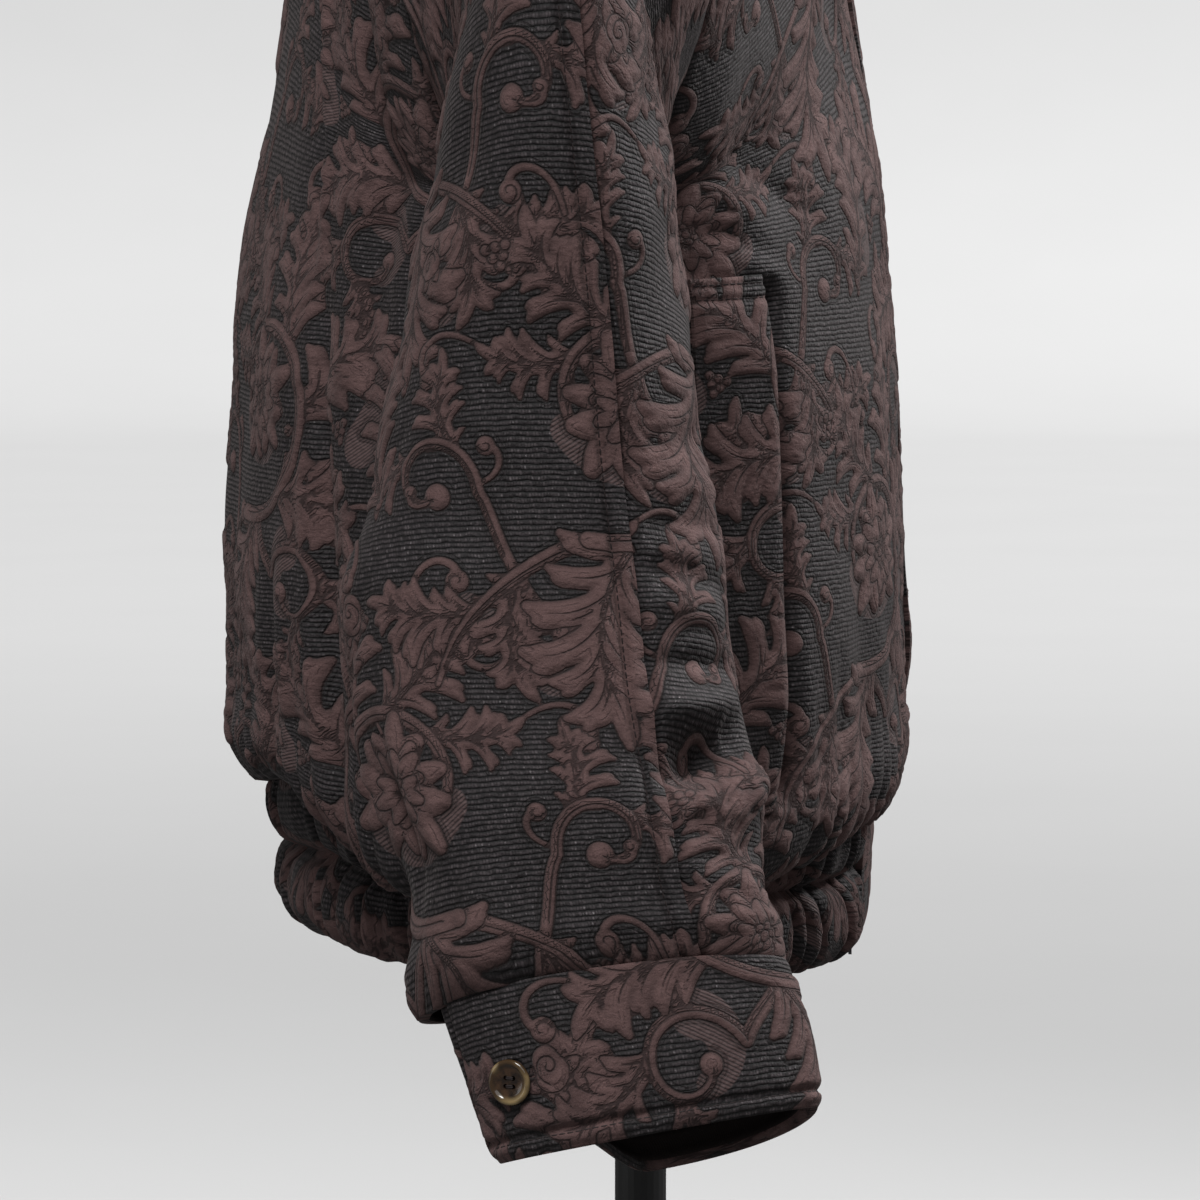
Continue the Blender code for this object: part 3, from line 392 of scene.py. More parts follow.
class Cloth:
    def __init__(self):
        full = lambda v: np.full((NX, NY), v, np.float32)
        self.out = full(-FAR)        # + inside the motifs' own outline
        self.td = full(-FAR)         # + inside a twill shade
        self.vs = full(FAR)          # side of the nearest vein, and how far
        self.vd = full(FAR)          # how far, with more where the vein is faint
        self.motif = np.zeros((NX, NY), bool)
        self.g = full(-99.0)         # the shape being drawn
        self.shift, self.flip = np.zeros(2), 1.0

    def near(self, pts, pad):
        p = np.asarray(pts, float).reshape(-1, 2) * np.array([self.flip, 1.0]) + self.shift
        lo = np.floor((p.min(0) - pad) / TILE_CELL).astype(int)
        hi = np.ceil((p.max(0) + pad) / TILE_CELL).astype(int)
        ix, iy = np.arange(lo[0], hi[0]), np.arange(lo[1], hi[1])
        return p, (ix * TILE_CELL)[:, None], (iy * TILE_CELL)[None, :], np.ix_(ix % NX, iy % NY)

    def stroke(self, pts, radii):
        """A rounded stroke of changing width, added to the shape being drawn."""
        r = np.broadcast_to(np.asarray(radii, float), (len(np.asarray(pts).reshape(-1, 2)),))
        p, gx, gy, w = self.near(pts, r.max() + 7.0)
        s = np.full((gx.size, gy.size), -99.0)
        if len(p) == 1:
            s = r[0] - np.hypot(gx - p[0, 0], gy - p[0, 1])
        for k in range(len(p) - 1):
            d = p[k + 1] - p[k]
            t = np.clip(((gx - p[k, 0]) * d[0] + (gy - p[k, 1]) * d[1]) / max(d @ d, 1e-9), 0, 1)
            s = np.maximum(s, r[k] + (r[k + 1] - r[k]) * t - np.hypot(gx - p[k, 0] - t * d[0], gy - p[k, 1] - t * d[1]))
        self.g[w] = np.maximum(self.g[w], s)

    def lay(self, shade=False, faint=0.0):
        """Put the drawn shape down over what is there, with its outline stitched."""
        g, inside = self.g, self.g > 0
        if shade:
            self.td = np.maximum(self.td, g)
        else:
            self.vd[inside] = FAR
            c = np.abs(g) + faint
            pick = c < self.vd
            self.vs[pick], self.vd[pick] = g[pick], c[pick]
            self.out = np.maximum(self.out, g)
            self.motif |= inside
        self.g = np.full((NX, NY), -99.0, np.float32)

    def vein(self, pts, s0=1.0, s1=0.0):
        """A stitched line inside the motifs, fading along its length."""
        p, gx, gy, w = self.near(pts, 5.0)
        n = len(p) - 1
        best = np.full((gx.size, gy.size), FAR)
        side = np.full_like(best, FAR)
        for k in range(n):
            d = p[k + 1] - p[k]
            t = np.clip(((gx - p[k, 0]) * d[0] + (gy - p[k, 1]) * d[1]) / max(d @ d, 1e-9), 0, 1)
            ox, oy = gx - p[k, 0] - t * d[0], gy - p[k, 1] - t * d[1]
            q = np.hypot(ox, oy)
            c = q + 1.7 * (1 - (s0 + (s1 - s0) * ((k + t) / n)))
            pick = c < best
            best = np.where(pick, c, best)
            side = np.where(pick, q * np.sign(d[0] * oy - d[1] * ox + 1e-9), side)
        pick = (best < self.vd[w]) & self.motif[w]
        self.vs[w] = np.where(pick, side, self.vs[w])
        self.vd[w] = np.where(pick, best, self.vd[w])

    # -------- shapes
    def flame(self, at, deg, length, width, curl=0.0, form=(0.62, 0.90, 1.0, 0.92, 0.44)):
        """A bent drop with a pointed end."""
        t = np.linspace(0, 1, 15)
        a = np.radians(deg + curl * t ** 1.3)
        pts = np.asarray(at, float) + np.concatenate([[[0, 0]], np.cumsum(
            np.stack([np.cos(a[:-1]), np.sin(a[:-1])], -1) * length / 14, 0)])
        self.stroke(pts, width / 2 * smooth(t * 4, np.array(form)))
        return pts

    def frond(self, spine, lobes, reach, sides=(1, 1), spread=(36, 10), back=84.0, rib=True):
        """An acanthus leaf: toothed lobes on both sides of a bent spine whose
        points curl back, then the vein of each lobe and the midrib."""
        t = np.linspace(0, 1, 60)
        p = bezier(spine, t)
        tang = np.gradient(p, axis=0)
        head = np.degrees(np.unwrap(np.arctan2(tang[:, 1], tang[:, 0])))
        self.stroke(p[:54], reach * 0.24 * np.sin(np.pi * np.clip(0.16 + 0.80 * t[:54], 0, 1)) + 1.0)
        veins = []
        lobes = lobes + 1
        for i in range(lobes):
            f = (i + 0.15) / lobes
            k = int(f * 50)
            env = np.sin(np.pi * (0.25 + 0.58 * f)) ** 0.9 * (1 + 0.12 * np.sin(2.4 * i + reach))
            off = spread[0] + (spread[1] - spread[0]) * f
            for side, size in zip((1, -1), sides):
                if size > 0:
                    ln = reach * env * size
                    q = self.flame(p[k], head[k] + side * off, ln * 1.22, ln * 0.40, curl=side * back * (0.7 + 0.5 * f))
                    self.flame(q[7], head[k] + side * (off + 16), ln * 0.52, ln * 0.30, curl=side * 26)
                    veins.append((q[:12], 1.0, 0.1))
                    if (i + side) % 2:
                        veins.append((q[3:9] + (p[min(k + 5, 59)] - p[k]) * 0.55, 0.8, 0.0))
        tip = p[46]
        for off, ln, cu in ((0, 0.92, 30 * np.sign(sides[0] - sides[1] + 0.01)), (32, 0.64, 44), (-32, 0.64, -44)):
            q = self.flame(tip, head[50] + off, reach * ln, reach * 0.36, curl=cu)
            veins.append((q[:11], 0.9, 0.1))
        self.lay()
        for v, a, b in veins:
            self.vein(v, a, b)
        if rib:
            side = np.stack([-tang[:, 1], tang[:, 0]], -1) / np.linalg.norm(tang, axis=1, keepdims=True)
            gap = (1.5 - 1.3 * t)[:, None]
            self.vein((p + side * gap)[:50:3], 1.0, 0.5)
            self.vein((p - side * gap)[:50:3], 1.0, 0.5)
        return q[-1]

    def scroll(self, pts, w0, w1, curl=0.0, double=True):
        """A stem that tapers along a curve, its end rolled into a round eye."""
        p = np.asarray(pts, float)
        n = len(p)
        f = np.linspace(0, 1, n)
        w = (w0 + (w1 - w0) * f) * (0.74 + 0.26 * np.sin(0.25 + 2.35 * f))
        self.stroke(p, w)
        if curl:
            self.stroke(p[-1:], [curl])
        self.lay()
        if double:
            tang = np.gradient(p, axis=0)
            side = np.stack([-tang[:, 1], tang[:, 0]], -1) / np.maximum(np.linalg.norm(tang, axis=1, keepdims=True), 1e-9)
            self.vein((p + side * (w * 0.20)[:, None])[2:-2], 1.0, 0.9)

    def hook(self, at, deg, length, width, curl, eye):
        """A tendril: a thin stalk that thickens to a rolled, rounded end."""
        t = np.linspace(0, 1, 22)
        a = np.radians(deg + curl * t ** 1.6)
        pts = np.asarray(at, float) + np.concatenate([[[0, 0]], np.cumsum(
            np.stack([np.cos(a[:-1]), np.sin(a[:-1])], -1) * length / 21 * (1.25 - 0.5 * t[:-1])[:, None], 0)])
        self.stroke(pts, width * (0.55 + 0.45 * t))
        self.stroke(pts[-1:], [eye])
        self.lay()
        self.vein(spiral(pts[-1], eye * 0.75, eye * 0.2, deg + curl, deg + curl + np.sign(curl) * 300, 14), 0.9, 0.3)

    def flower(self, at, petals, reach, turn=0.0, heart=4.4):
        """Two rings of notched petals round a knot of seeds."""
        at = np.asarray(at, float)
        for n, size, rot in ((petals, 1.0, 0.0), (petals, 0.60, 0.5)):
            for k in range(n):
                ln = reach * size * (1 + 0.11 * np.sin(k * 2.2 + reach + size))
                deg = turn + (k + rot) * 360.0 / n + 7 * np.sin(k * 1.7)
                for off, part, cu in ((19, 0.84, 34), (-19, 0.82, -34), (0, 1.0, 10)):
                    q = self.flame(at, deg + off, ln * part, ln * 0.42, curl=cu, form=(0.45, 0.80, 1.0, 0.96, 0.60))
                self.lay()
                self.vein(q[2:12], 1.0, 0.0)
                for off in (15, -15):
                    a = np.radians(deg + off * np.linspace(0.6, 1.25, 6))
                    self.vein(at + np.stack([np.cos(a), np.sin(a)], -1) * (ln * np.linspace(0.3, 0.74, 6))[:, None], 0.8, 0.0)
        for k in range(6):
            a = np.radians(turn + 60 * k)
            self.stroke([at + heart * np.array([np.cos(a), np.sin(a)])], [heart * 0.52])
            self.lay()
        self.stroke([at], [heart * 0.58])
        self.lay()

    def bud(self, at, deg, size):
        """A closed bloom: a round head of wrapped petals over two small leaves."""
        at = np.asarray(at, float)
        d = np.array([np.cos(np.radians(deg)), np.sin(np.radians(deg))])
        for off, cu in ((120, -50), (-120, 50), (165, -30)):
            self.flame(at, deg + off, size * 1.5, size * 0.75, curl=cu)
        self.lay()
        self.stroke([at - d * size * 0.15, at + d * size * 0.45], [size * 0.92, size * 0.72])
        self.lay()
        self.vein(spiral(at + d * size * 0.15, size * 0.78, size * 0.12, deg - 150, deg + 300, 30), 1.0, 0.9)

    def seeds(self, at, deg, rows, r=2.5):
        at = np.asarray(at, float)
        a = np.radians(deg)
        d, n = np.array([np.cos(a), np.sin(a)]), np.array([-np.sin(a), np.cos(a)])
        for i in range(rows):
            m = rows - i
            for j in range(m):
                self.stroke([at + d * i * r * 1.62 + n * (j - (m - 1) / 2) * r * 1.86], [r * (1 - 0.03 * i)])
                self.lay()


def bezier(ctrl, t):
    c = [np.asarray(q, float) for q in ctrl]
    t = np.asarray(t)[:, None]
    while len(c) > 1:
        c = [(1 - t) * a + t * b for a, b in zip(c[:-1], c[1:])]
    return c[0] + 0 * t


def spiral(centre, r0, r1, deg0, deg1, n=44):
    f = np.linspace(0, 1, n)
    a = np.radians(deg0 + (deg1 - deg0) * f)
    r = r0 + (r1 - r0) * f ** 0.8
    return np.asarray(centre, float) + np.stack([np.cos(a), np.sin(a)], -1) * r[:, None]


def sprout(c, curve, k, out, ahead, size, lobes=3, sides=(1, 0.8), reach=0.56):
    """A leaf that leaves a curve at its k-th point, outward and along it."""
    tang = curve[min(k + 1, len(curve) - 1)] - curve[k - 1]
    tang = tang / np.linalg.norm(tang)
    side = np.array([tang[1], -tang[0]]) * np.sign(out)
    p0 = curve[k]
    spine = [p0, p0 + size * (0.45 * ahead * tang + 0.22 * abs(out) * side),
             p0 + size * (0.90 * ahead * tang + 0.62 * abs(out) * side), p0 + size * (1.0 * ahead * tang + 1.25 * abs(out) * side)]
    c.frond(spine, lobes, size * reach, sides=sides)


def draw_shades(c):
    """The twill shades of one half, which lie under everything."""
    c.stroke(spiral((4, 0), 32, 24, 196, 310, 24), np.linspace(8, 5, 24))
    c.stroke(spiral((46, -84), 14, 20, 120, 250, 14), np.linspace(12, 6, 14))
    c.stroke(bezier([(-84, 52), (-60, 66), (-48, 84)], np.linspace(0, 1, 10)), np.linspace(12, 5, 10))
    c.stroke(bezier([(96, -18), (110, 6), (104, 28)], np.linspace(0, 1, 10)), np.linspace(12, 6, 10))
    c.lay(shade=True)


def draw_half(c):
    """One half of the repeat: a scroll that winds in to a flower."""
    big = spiral((0, 0), 62, 26, -112, 190, 72)
    tail = bezier([big[0], (-50, -66), (-84, -84), (-98, -124)], np.linspace(0, 1, 30))
    low = spiral((46, -94), 28, 9, 164, -176, 46)
    # tendrils, buds and a smaller scroll that lie lowest
    c.hook((-66, 30), 150, 46, 2.5, 190, 5.6)
    c.hook((84, -52), 20, 48, 2.6, -200, 6.0)
    c.hook((-20, 84), 100, 42, 2.5, 200, 5.6)
    c.hook((-60, -96), -100, 42, 2.5, -190, 5.6)
    c.bud((108, -86), 70, 9.0)
    c.bud((-92, 70), 160, 8.0)
    small = np.concatenate([bezier([(-58, -72), (-64, -60), (-66, -46), (-70, -36)], np.linspace(0, 1, 10))[:-1],
                            spiral((-94, -30), 24, 8, -14, 300, 40)])
    sprout(c, small, 16, 0.8, 0.9, 30, 3)
    sprout(c, small, 27, 0.8, 0.9, 30, 3)
    c.hook(small[10], 20, 26, 2.2, 170, 4.6)
    c.scroll(small, 3.6, 2.0, curl=6.4)
    c.hook(small[44], 200, 16, 1.8, -170, 3.6)
    # the counter-scroll and the tail with their leaves
    for k, size, lobes in ((8, 38, 3), (19, 36, 3), (29, 26, 3)):
        sprout(c, low, k, -0.9, 0.9, size, lobes)
    c.scroll(np.concatenate([bezier([big[4], (0, -66), (14, -76), low[0]], np.linspace(0, 1, 14))[:-1], low]), 4.2, 2.0, curl=5.4)
    sprout(c, tail, 19, 0.9, 0.7, 38, 4)
    sprout(c, tail, 11, -0.9, 0.8, 40, 4)
    c.scroll(tail, 4.6, 1.6)
    c.frond([(-2, -58), (-24, -84), (-32, -114), (-12, -146)], 5, 33, sides=(0.85, 1.0))
    # leaves round the outside of the big scroll
    for k, out, size, lobes in ((12, 1.0, 46, 4), (24, 1.0, 51, 4), (36, 1.0, 49, 4), (47, 1.0, 40, 4), (57, 0.9, 30, 3)):
        sprout(c, big, k, out, 0.85, size, lobes, sides=(0.9, 1.0))
    # rolled tendrils on its inner side
    for k, deg, ln in ((18, 60, 20), (42, 190, 18)):
        c.hook(big[k], deg, ln, 1.8, 150, 3.4)
    c.scroll(big, 5.2, 3.0)
    c.flower((2, 1), 5, 31, turn=20, heart=4.4)
    c.frond([(126, -34), (110, -8), (114, 18), (134, 34)], 4, 26, sides=(0.9, 1.0))
    c.seeds((-54, 66), 40, 3, 2.6)
    c.seeds((78, -10), -70, 3, 2.5)


def make_tile():
    c = Cloth()
    for draw in (draw_shades, draw_half):
        for share, flip in ((0.25, 1.0), (0.75, -1.0)):
            c.shift, c.flip = np.array([TILE_W * share, TILE_H * share]), flip
            draw(c)
    c.out, c.td = np.maximum(c.out, -FAR), np.maximum(c.td, -FAR)
    return c


TILE = make_tile()
FIELDS = {
    "sd": TILE.out,                       # + inside a motif
    "td": TILE.td,                        # + inside a twill shade
    "vs": TILE.vs,                        # side of the nearest vein
    "vd": TILE.vd,                        # how far it is
    "lump": np.where(TILE.out > 0, np.minimum(TILE.out, 0.55 * TILE.vd + 0.45 * TILE.out), -TILE.out),
}


DESIGN_SCALE = 0.86              # the woven repeat is this much of the drawn one


def design(s, t, at=(0.0, 0.0)):
    """The design at flat places s, t (m): every field in mm."""
    fx = ((s * 1000 / DESIGN_SCALE + at[0]) / TILE_CELL) % NX
    fy = ((t * 1000 / DESIGN_SCALE + at[1]) / TILE_CELL) % NY
    i, j = np.floor(fx).astype(int) % NX, np.floor(fy).astype(int) % NY
    a, b = fx - np.floor(fx), fy - np.floor(fy)
    i1, j1 = (i + 1) % NX, (j + 1) % NY
    out = {}
    for key, f in FIELDS.items():
        out[key] = (f[i, j] * (1 - a) * (1 - b) + f[i1, j] * a * (1 - b) + f[i, j1] * (1 - a) * b + f[i1, j1] * a * b) * DESIGN_SCALE
    return out


PUFF, PUFF_TWILL, PUFF_GROUND = 0.00225, 0.00050, 0.00010


def relief(d):
    """Height of the raised design (m)."""
    m = np.clip((d["sd"] + 0.3) / 0.9, 0, 1)
    w = np.clip((d["td"] + 0.4) / 0.8, 0, 1) * (1 - m)
    rise = 1 - 0.62 * np.exp(-d["lump"] / 1.9) - 0.38 * np.exp(-d["lump"] / 5.5)
    return rise * (PUFF * m + PUFF_TWILL * w + PUFF_GROUND * (1 - m - w))


def steps(*runs):
    """Joined even runs: each (start, end, count)."""
    out = [np.linspace(a, b, n, endpoint=False) for a, b, n in runs]
    return np.concatenate(out + [[runs[-1][1]]])


def wave(x, y, seed):
    """A slow uneven swell in -1..1, the same each run."""
    out = 0.0
    for k in range(5):
        a = 1.7 * k + seed
        out = out + math.cos(a * 3.1) * np.sin((1 + 0.55 * k) * (x * math.cos(a) + y * math.sin(a)) + 5.3 * a)
    return out / 2.2


# ---------------------------------------------------------------- shells
GRIDS = {}


def lowest(a, reach):
    """The least of each cell's neighbours, so a coarse back stays behind its face."""
    for axis in (0, 1):
        pad = np.pad(a, [(reach, reach) if k == axis else (0, 0) for k in (0, 1)], mode="edge")
        n = a.shape[axis]
        a = np.min([np.take(pad, np.arange(k, k + n), axis) for k in range(2 * reach + 1)], axis=0)
    return a


def shell(name, mid, nrm, lift, thick, s, t, at, fade, step, side=1, back="lining", ride=True, roll=0.0, close_rows=0, turned=0):
    """A closed thin shell: fine face with the design, coarse back, a rim; the
    last turned rows of the back are the cloth's own turned edge."""
    flip = np.array([side, 1.0, 1.0])
    d = design(s, t, at)
    up = lift + relief(d) * fade
    out = (mid + nrm * (up + thick / 2)[..., None]) * flip
    deep = lowest(lift, step)
    inn = (mid + nrm * (np.where(deep < 0, deep, 0.8 * deep) - thick / 2 - roll)[..., None]) * flip
    n = nrm * flip
    nu, nv = out.shape[:2]
    ids = np.arange(nu * nv).reshape(nu, nv)
    ci = np.unique(np.r_[np.arange(0, nu, step), nu - 1])
    cj = np.unique(np.r_[np.arange(0, nv, step), np.arange(nv - 1 - close_rows, nv)])
    need = np.zeros((nu, nv), bool)
    need[np.ix_(ci, cj)] = True
    need[[0, -1], :] = True
    need[:, [0, -1]] = True
    low = np.full((nu, nv), -1)
    low[need] = nu * nv + np.arange(need.sum())
    pts = np.concatenate([out.reshape(-1, 3), inn[need]])
    face = np.stack([ids[:-1, :-1], ids[1:, :-1], ids[1:, 1:], ids[:-1, 1:]], -1).reshape(-1, 4)
    cells, own = [], []
    for i0, i1 in zip(ci[:-1], ci[1:]):
        for j0, j1 in zip(cj[:-1], cj[1:]):
            c = list(low[i0:i1:(1 if j0 == 0 else i1 - i0), j0])
            c += list(low[i1, j0:j1:(1 if i1 == nu - 1 else j1 - j0)])
            c += list(low[i1:i0:-1 if j1 == nv - 1 else i0 - i1, j1])
            c += list(low[i0, j1:j0:-1 if i0 == 0 else j0 - j1])
            cells.append(c[::-1])
            own.append(j0 >= nv - 1 - turned)
    ring_ids = [(k, 0) for k in range(nu - 1)] + [(nu - 1, k) for k in range(nv - 1)]
    ring_ids += [(k, nv - 1) for k in range(nu - 1, 0, -1)] + [(0, k) for k in range(nv - 1, 0, -1)]
    ra = np.array([ids[k] for k in ring_ids])
    rb = np.array([low[k] for k in ring_ids])
    rim = np.stack([np.roll(ra, -1), ra, rb, np.roll(rb, -1)], -1)
    q = face[:: max(1, len(face) // 500)]
    e = np.cross(pts[q[:, 1]] - pts[q[:, 0]], pts[q[:, 3]] - pts[q[:, 0]])
    turn = np.sum(e * n.reshape(-1, 3)[q[:, 0]]) < 0
    quads = np.concatenate([face, rim])
    if turn:
        quads, cells = quads[:, ::-1], [c[::-1] for c in cells]
    loops = np.concatenate([quads.ravel(), np.array([k for c in cells for k in c])]).astype(np.int32)
    count = np.concatenate([np.full(len(quads), 4), np.array([len(c) for c in cells])])
    start = np.concatenate([[0], np.cumsum(count)[:-1]]).astype(np.int32)
    mesh = bpy.data.meshes.new(name)
    mesh.vertices.add(len(pts))
    mesh.vertices.foreach_set("co", pts.astype(np.float32).ravel())
    mesh.loops.add(len(loops))
    mesh.loops.foreach_set("vertex_index", loops)
    mesh.polygons.add(len(count))
    mesh.polygons.foreach_set("loop_start", start)
    which = np.zeros(len(count), np.int32)
    which[len(quads):] = np.where(own, 0, 1)
    mesh.update(calc_edges=True)
    mesh.materials.append(MATS["jacquard"])
    mesh.materials.append(MATS[back])
    mesh.polygons.foreach_set("material_index", which)
    flat = np.stack([s, t], -1)
    flat = np.concatenate([flat.reshape(-1, 2), flat[need]])
    layer = mesh.uv_layers.new(name="cloth")
    layer.data.foreach_set("uv", flat[loops].astype(np.float32).ravel())
    for key in ("sd", "td", "vs", "vd"):
        a = mesh.attributes.new(key, "FLOAT", "POINT")
        a.data.foreach_set("value", np.concatenate([d[key].ravel(), d[key][need]]).astype(np.float32))
    mesh.shade_smooth()
    mesh.set_sharp_from_angle(angle=math.radians(75))
    ob = bpy.data.objects.new(name, mesh)
    bpy.context.scene.collection.objects.link(ob)
    if ride:
        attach(ob, "root")
    GRIDS[name] = {"out": out, "n": n, "s": s, "t": t}
    return ob


def loose(name, pts, faces, mat, smooth_it=True):
    mesh = bpy.data.meshes.new(name)
    mesh.from_pydata([tuple(map(float, p)) for p in pts], [], [tuple(int(k) for k in f) for f in faces])
    mesh.materials.append(MATS[mat])
    if smooth_it:
        mesh.shade_smooth()
        mesh.set_sharp_from_angle(angle=math.radians(50))
    ob = bpy.data.objects.new(name, mesh)
    bpy.context.scene.collection.objects.link(ob)
    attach(ob, "root")
    return ob


def capsules(name, a, b, r, up, mat="thread", sides=5):
    """Small stitches from points a to points b, sunk to half their thickness."""
    a, b, up = np.asarray(a), np.asarray(b), np.asarray(up)
    along = unit(b - a)
    x = unit(np.cross(along, up))
    y = np.cross(x, along)
    ang = np.linspace(0, 2 * math.pi, sides, endpoint=False)
    rings = []
    for f, k in ((0.0, 0.3), (0.18, 1.0), (0.82, 1.0), (1.0, 0.3)):
        c = a + (b - a) * f + y * r * 0.35
        rings.append(np.stack([c + (x * math.cos(g) + y * math.sin(g)) * r * k for g in ang], 1))
    pts = np.stack(rings, 1)
    n, m = len(a), 4 * sides
    faces = []
    for i in range(n):
        o = i * m
        for k in range(3):
            for g in range(sides):
                h = (g + 1) % sides
                faces.append((o + k * sides + g, o + k * sides + h, o + (k + 1) * sides + h, o + (k + 1) * sides + g))
        faces.append(tuple(o + g for g in range(sides - 1, -1, -1)))
        faces.append(tuple(o + 3 * sides + g for g in range(sides)))
    return loose(name, pts.reshape(-1, 3), faces, mat)


def stitch_run(path, nrm, pitch=0.0034, long_=0.0026):
    """Where stitches of one row begin and end along a path on the cloth."""
    d = np.r_[0, np.cumsum(np.linalg.norm(np.diff(path, axis=0), axis=1))]
    at = np.arange(0.001, d[-1] - long_, pitch)
    pick = lambda q, f: np.stack([np.interp(q, d, f[:, k]) for k in range(3)], -1)
    return pick(at, path), pick(at + long_, path), unit(pick(at + long_ / 2, nrm))


def row_of(name, s_at):
    """The line on a face at a set flat distance from its first edge."""
    g = GRIDS[name]
    nv = g["out"].shape[1]
    path = np.empty((nv, 3))
    nrm = np.empty((nv, 3))
    for j in range(nv):
        x = g["s"][:, j]
        o = np.argsort(x)
        for k in range(3):
            path[j, k] = np.interp(s_at, x[o], g["out"][o, j, k])
            nrm[j, k] = np.interp(s_at, x[o], g["n"][o, j, k])
    return path, nrm


# ---------------------------------------------------------------- materials
MATS = {}


class Net:
    def __init__(self, name):
        self.mat = bpy.data.materials.new(name)
        self.mat.use_nodes = True
        self.tree = self.mat.node_tree
        self.bsdf = self.tree.nodes["Principled BSDF"]
        MATS[name] = self.mat

    def put(self, sock, value):
        if isinstance(value, bpy.types.NodeSocket):
            self.tree.links.new(value, sock)
        else:
            sock.default_value = value

    def m(self, op, a, b=None, c=None, clamp=False):
        n = self.tree.nodes.new("ShaderNodeMath")
        n.operation, n.use_clamp = op, clamp
        for k, v in enumerate((a, b, c)):
            if v is not None:
                self.put(n.inputs[k], v)
        return n.outputs[0]

    def ease(self, v, a, b, lo=0.0, hi=1.0, kind="SMOOTHSTEP"):
        n = self.tree.nodes.new("ShaderNodeMapRange")
        n.interpolation_type = kind
        for k, q in zip(("Value", "From Min", "From Max", "To Min", "To Max"), (v, a, b, lo, hi)):
            self.put(n.inputs[k], q)
        return n.outputs["Result"]

    def attr(self, name):
        n = self.tree.nodes.new("ShaderNodeAttribute")
        n.attribute_name = name
        return n.outputs["Fac"]

    def flat(self):
        n = self.tree.nodes.new("ShaderNodeUVMap")
        n.uv_map = "cloth"
        sep = self.tree.nodes.new("ShaderNodeSeparateXYZ")
        self.tree.links.new(n.outputs[0], sep.inputs[0])
        return self.m("MULTIPLY", sep.outputs[0], 1000.0), self.m("MULTIPLY", sep.outputs[1], 1000.0)

    def vec(self, x, y, z=0.0):
        n = self.tree.nodes.new("ShaderNodeCombineXYZ")
        for k, v in enumerate((x, y, z)):
            self.put(n.inputs[k], v)
        return n.outputs[0]

    def noise(self, vec, scale, detail=2.0, rough=0.5):
        n = self.tree.nodes.new("ShaderNodeTexNoise")
        if vec is not None:
            self.tree.links.new(vec, n.inputs["Vector"])
        n.inputs["Scale"].default_value = scale
        n.inputs["Detail"].default_value = detail
        n.inputs["Roughness"].default_value = rough
        return n.outputs["Fac"]

    def chance(self, vec):
        n = self.tree.nodes.new("ShaderNodeTexWhiteNoise")
        n.noise_dimensions = "3D"
        self.tree.links.new(vec, n.inputs["Vector"])
        return n.outputs["Value"]

    def mix(self, f, a, b):
        n = self.tree.nodes.new("ShaderNodeMix")
        n.data_type = "RGBA"
        self.put(n.inputs[0], f)
        for k, v in ((6, a), (7, b)):
            self.put(n.inputs[k], v if isinstance(v, bpy.types.NodeSocket) else (*v, 1.0))
        return n.outputs[2]

    def dim(self, colour, f):
        """A colour times a number."""
        n = self.tree.nodes.new("ShaderNodeMix")
        n.data_type, n.blend_type = "RGBA", "MULTIPLY"
        n.inputs[0].default_value = 1.0
        self.put(n.inputs[6], colour if isinstance(colour, bpy.types.NodeSocket) else (*colour, 1.0))
        g = self.tree.nodes.new("ShaderNodeCombineColor")
        for k in range(3):
            self.put(g.inputs[k], f)
        self.tree.links.new(g.outputs[0], n.inputs[7])
        return n.outputs[2]

    def bump(self, height, strength=1.0, distance=0.001):
        n = self.tree.nodes.new("ShaderNodeBump")
        n.inputs["Strength"].default_value = strength
        n.inputs["Distance"].default_value = distance
        self.tree.links.new(height, n.inputs["Height"])
        self.tree.links.new(n.outputs[0], self.bsdf.inputs["Normal"])

    def set(self, **kw):
        for key, v in kw.items():
            self.put(self.bsdf.inputs[key.replace("_", " ")], v)


def lin(r, g, b):
    return tuple(((c / 255.0 + 0.055) / 1.055) ** 2.4 if c > 10 else c / 255.0 / 12.92 for c in (r, g, b))


BROWN, BROWN_DEEP = lin(102, 79, 77), lin(66, 49, 48)
# the rib gap colour is the dark ground thread, deepened to near black as painted shade in the gaps between the ribs
# the speck colour is a pale glossy thread, lightened further as a painted glint
RIB_TOP, RIB_GAP_THREAD_AND_SHADE, SPECK_THREAD_AND_GLINT = lin(60, 54, 56), lin(7, 6, 7), lin(138, 132, 134)
TWILL_A, TWILL_B = lin(80, 64, 63), lin(52, 42, 42)
LINE = lin(19, 13, 13)
RIB, GRAIN = 2.10, 1.25                  # the ground weave (mm)


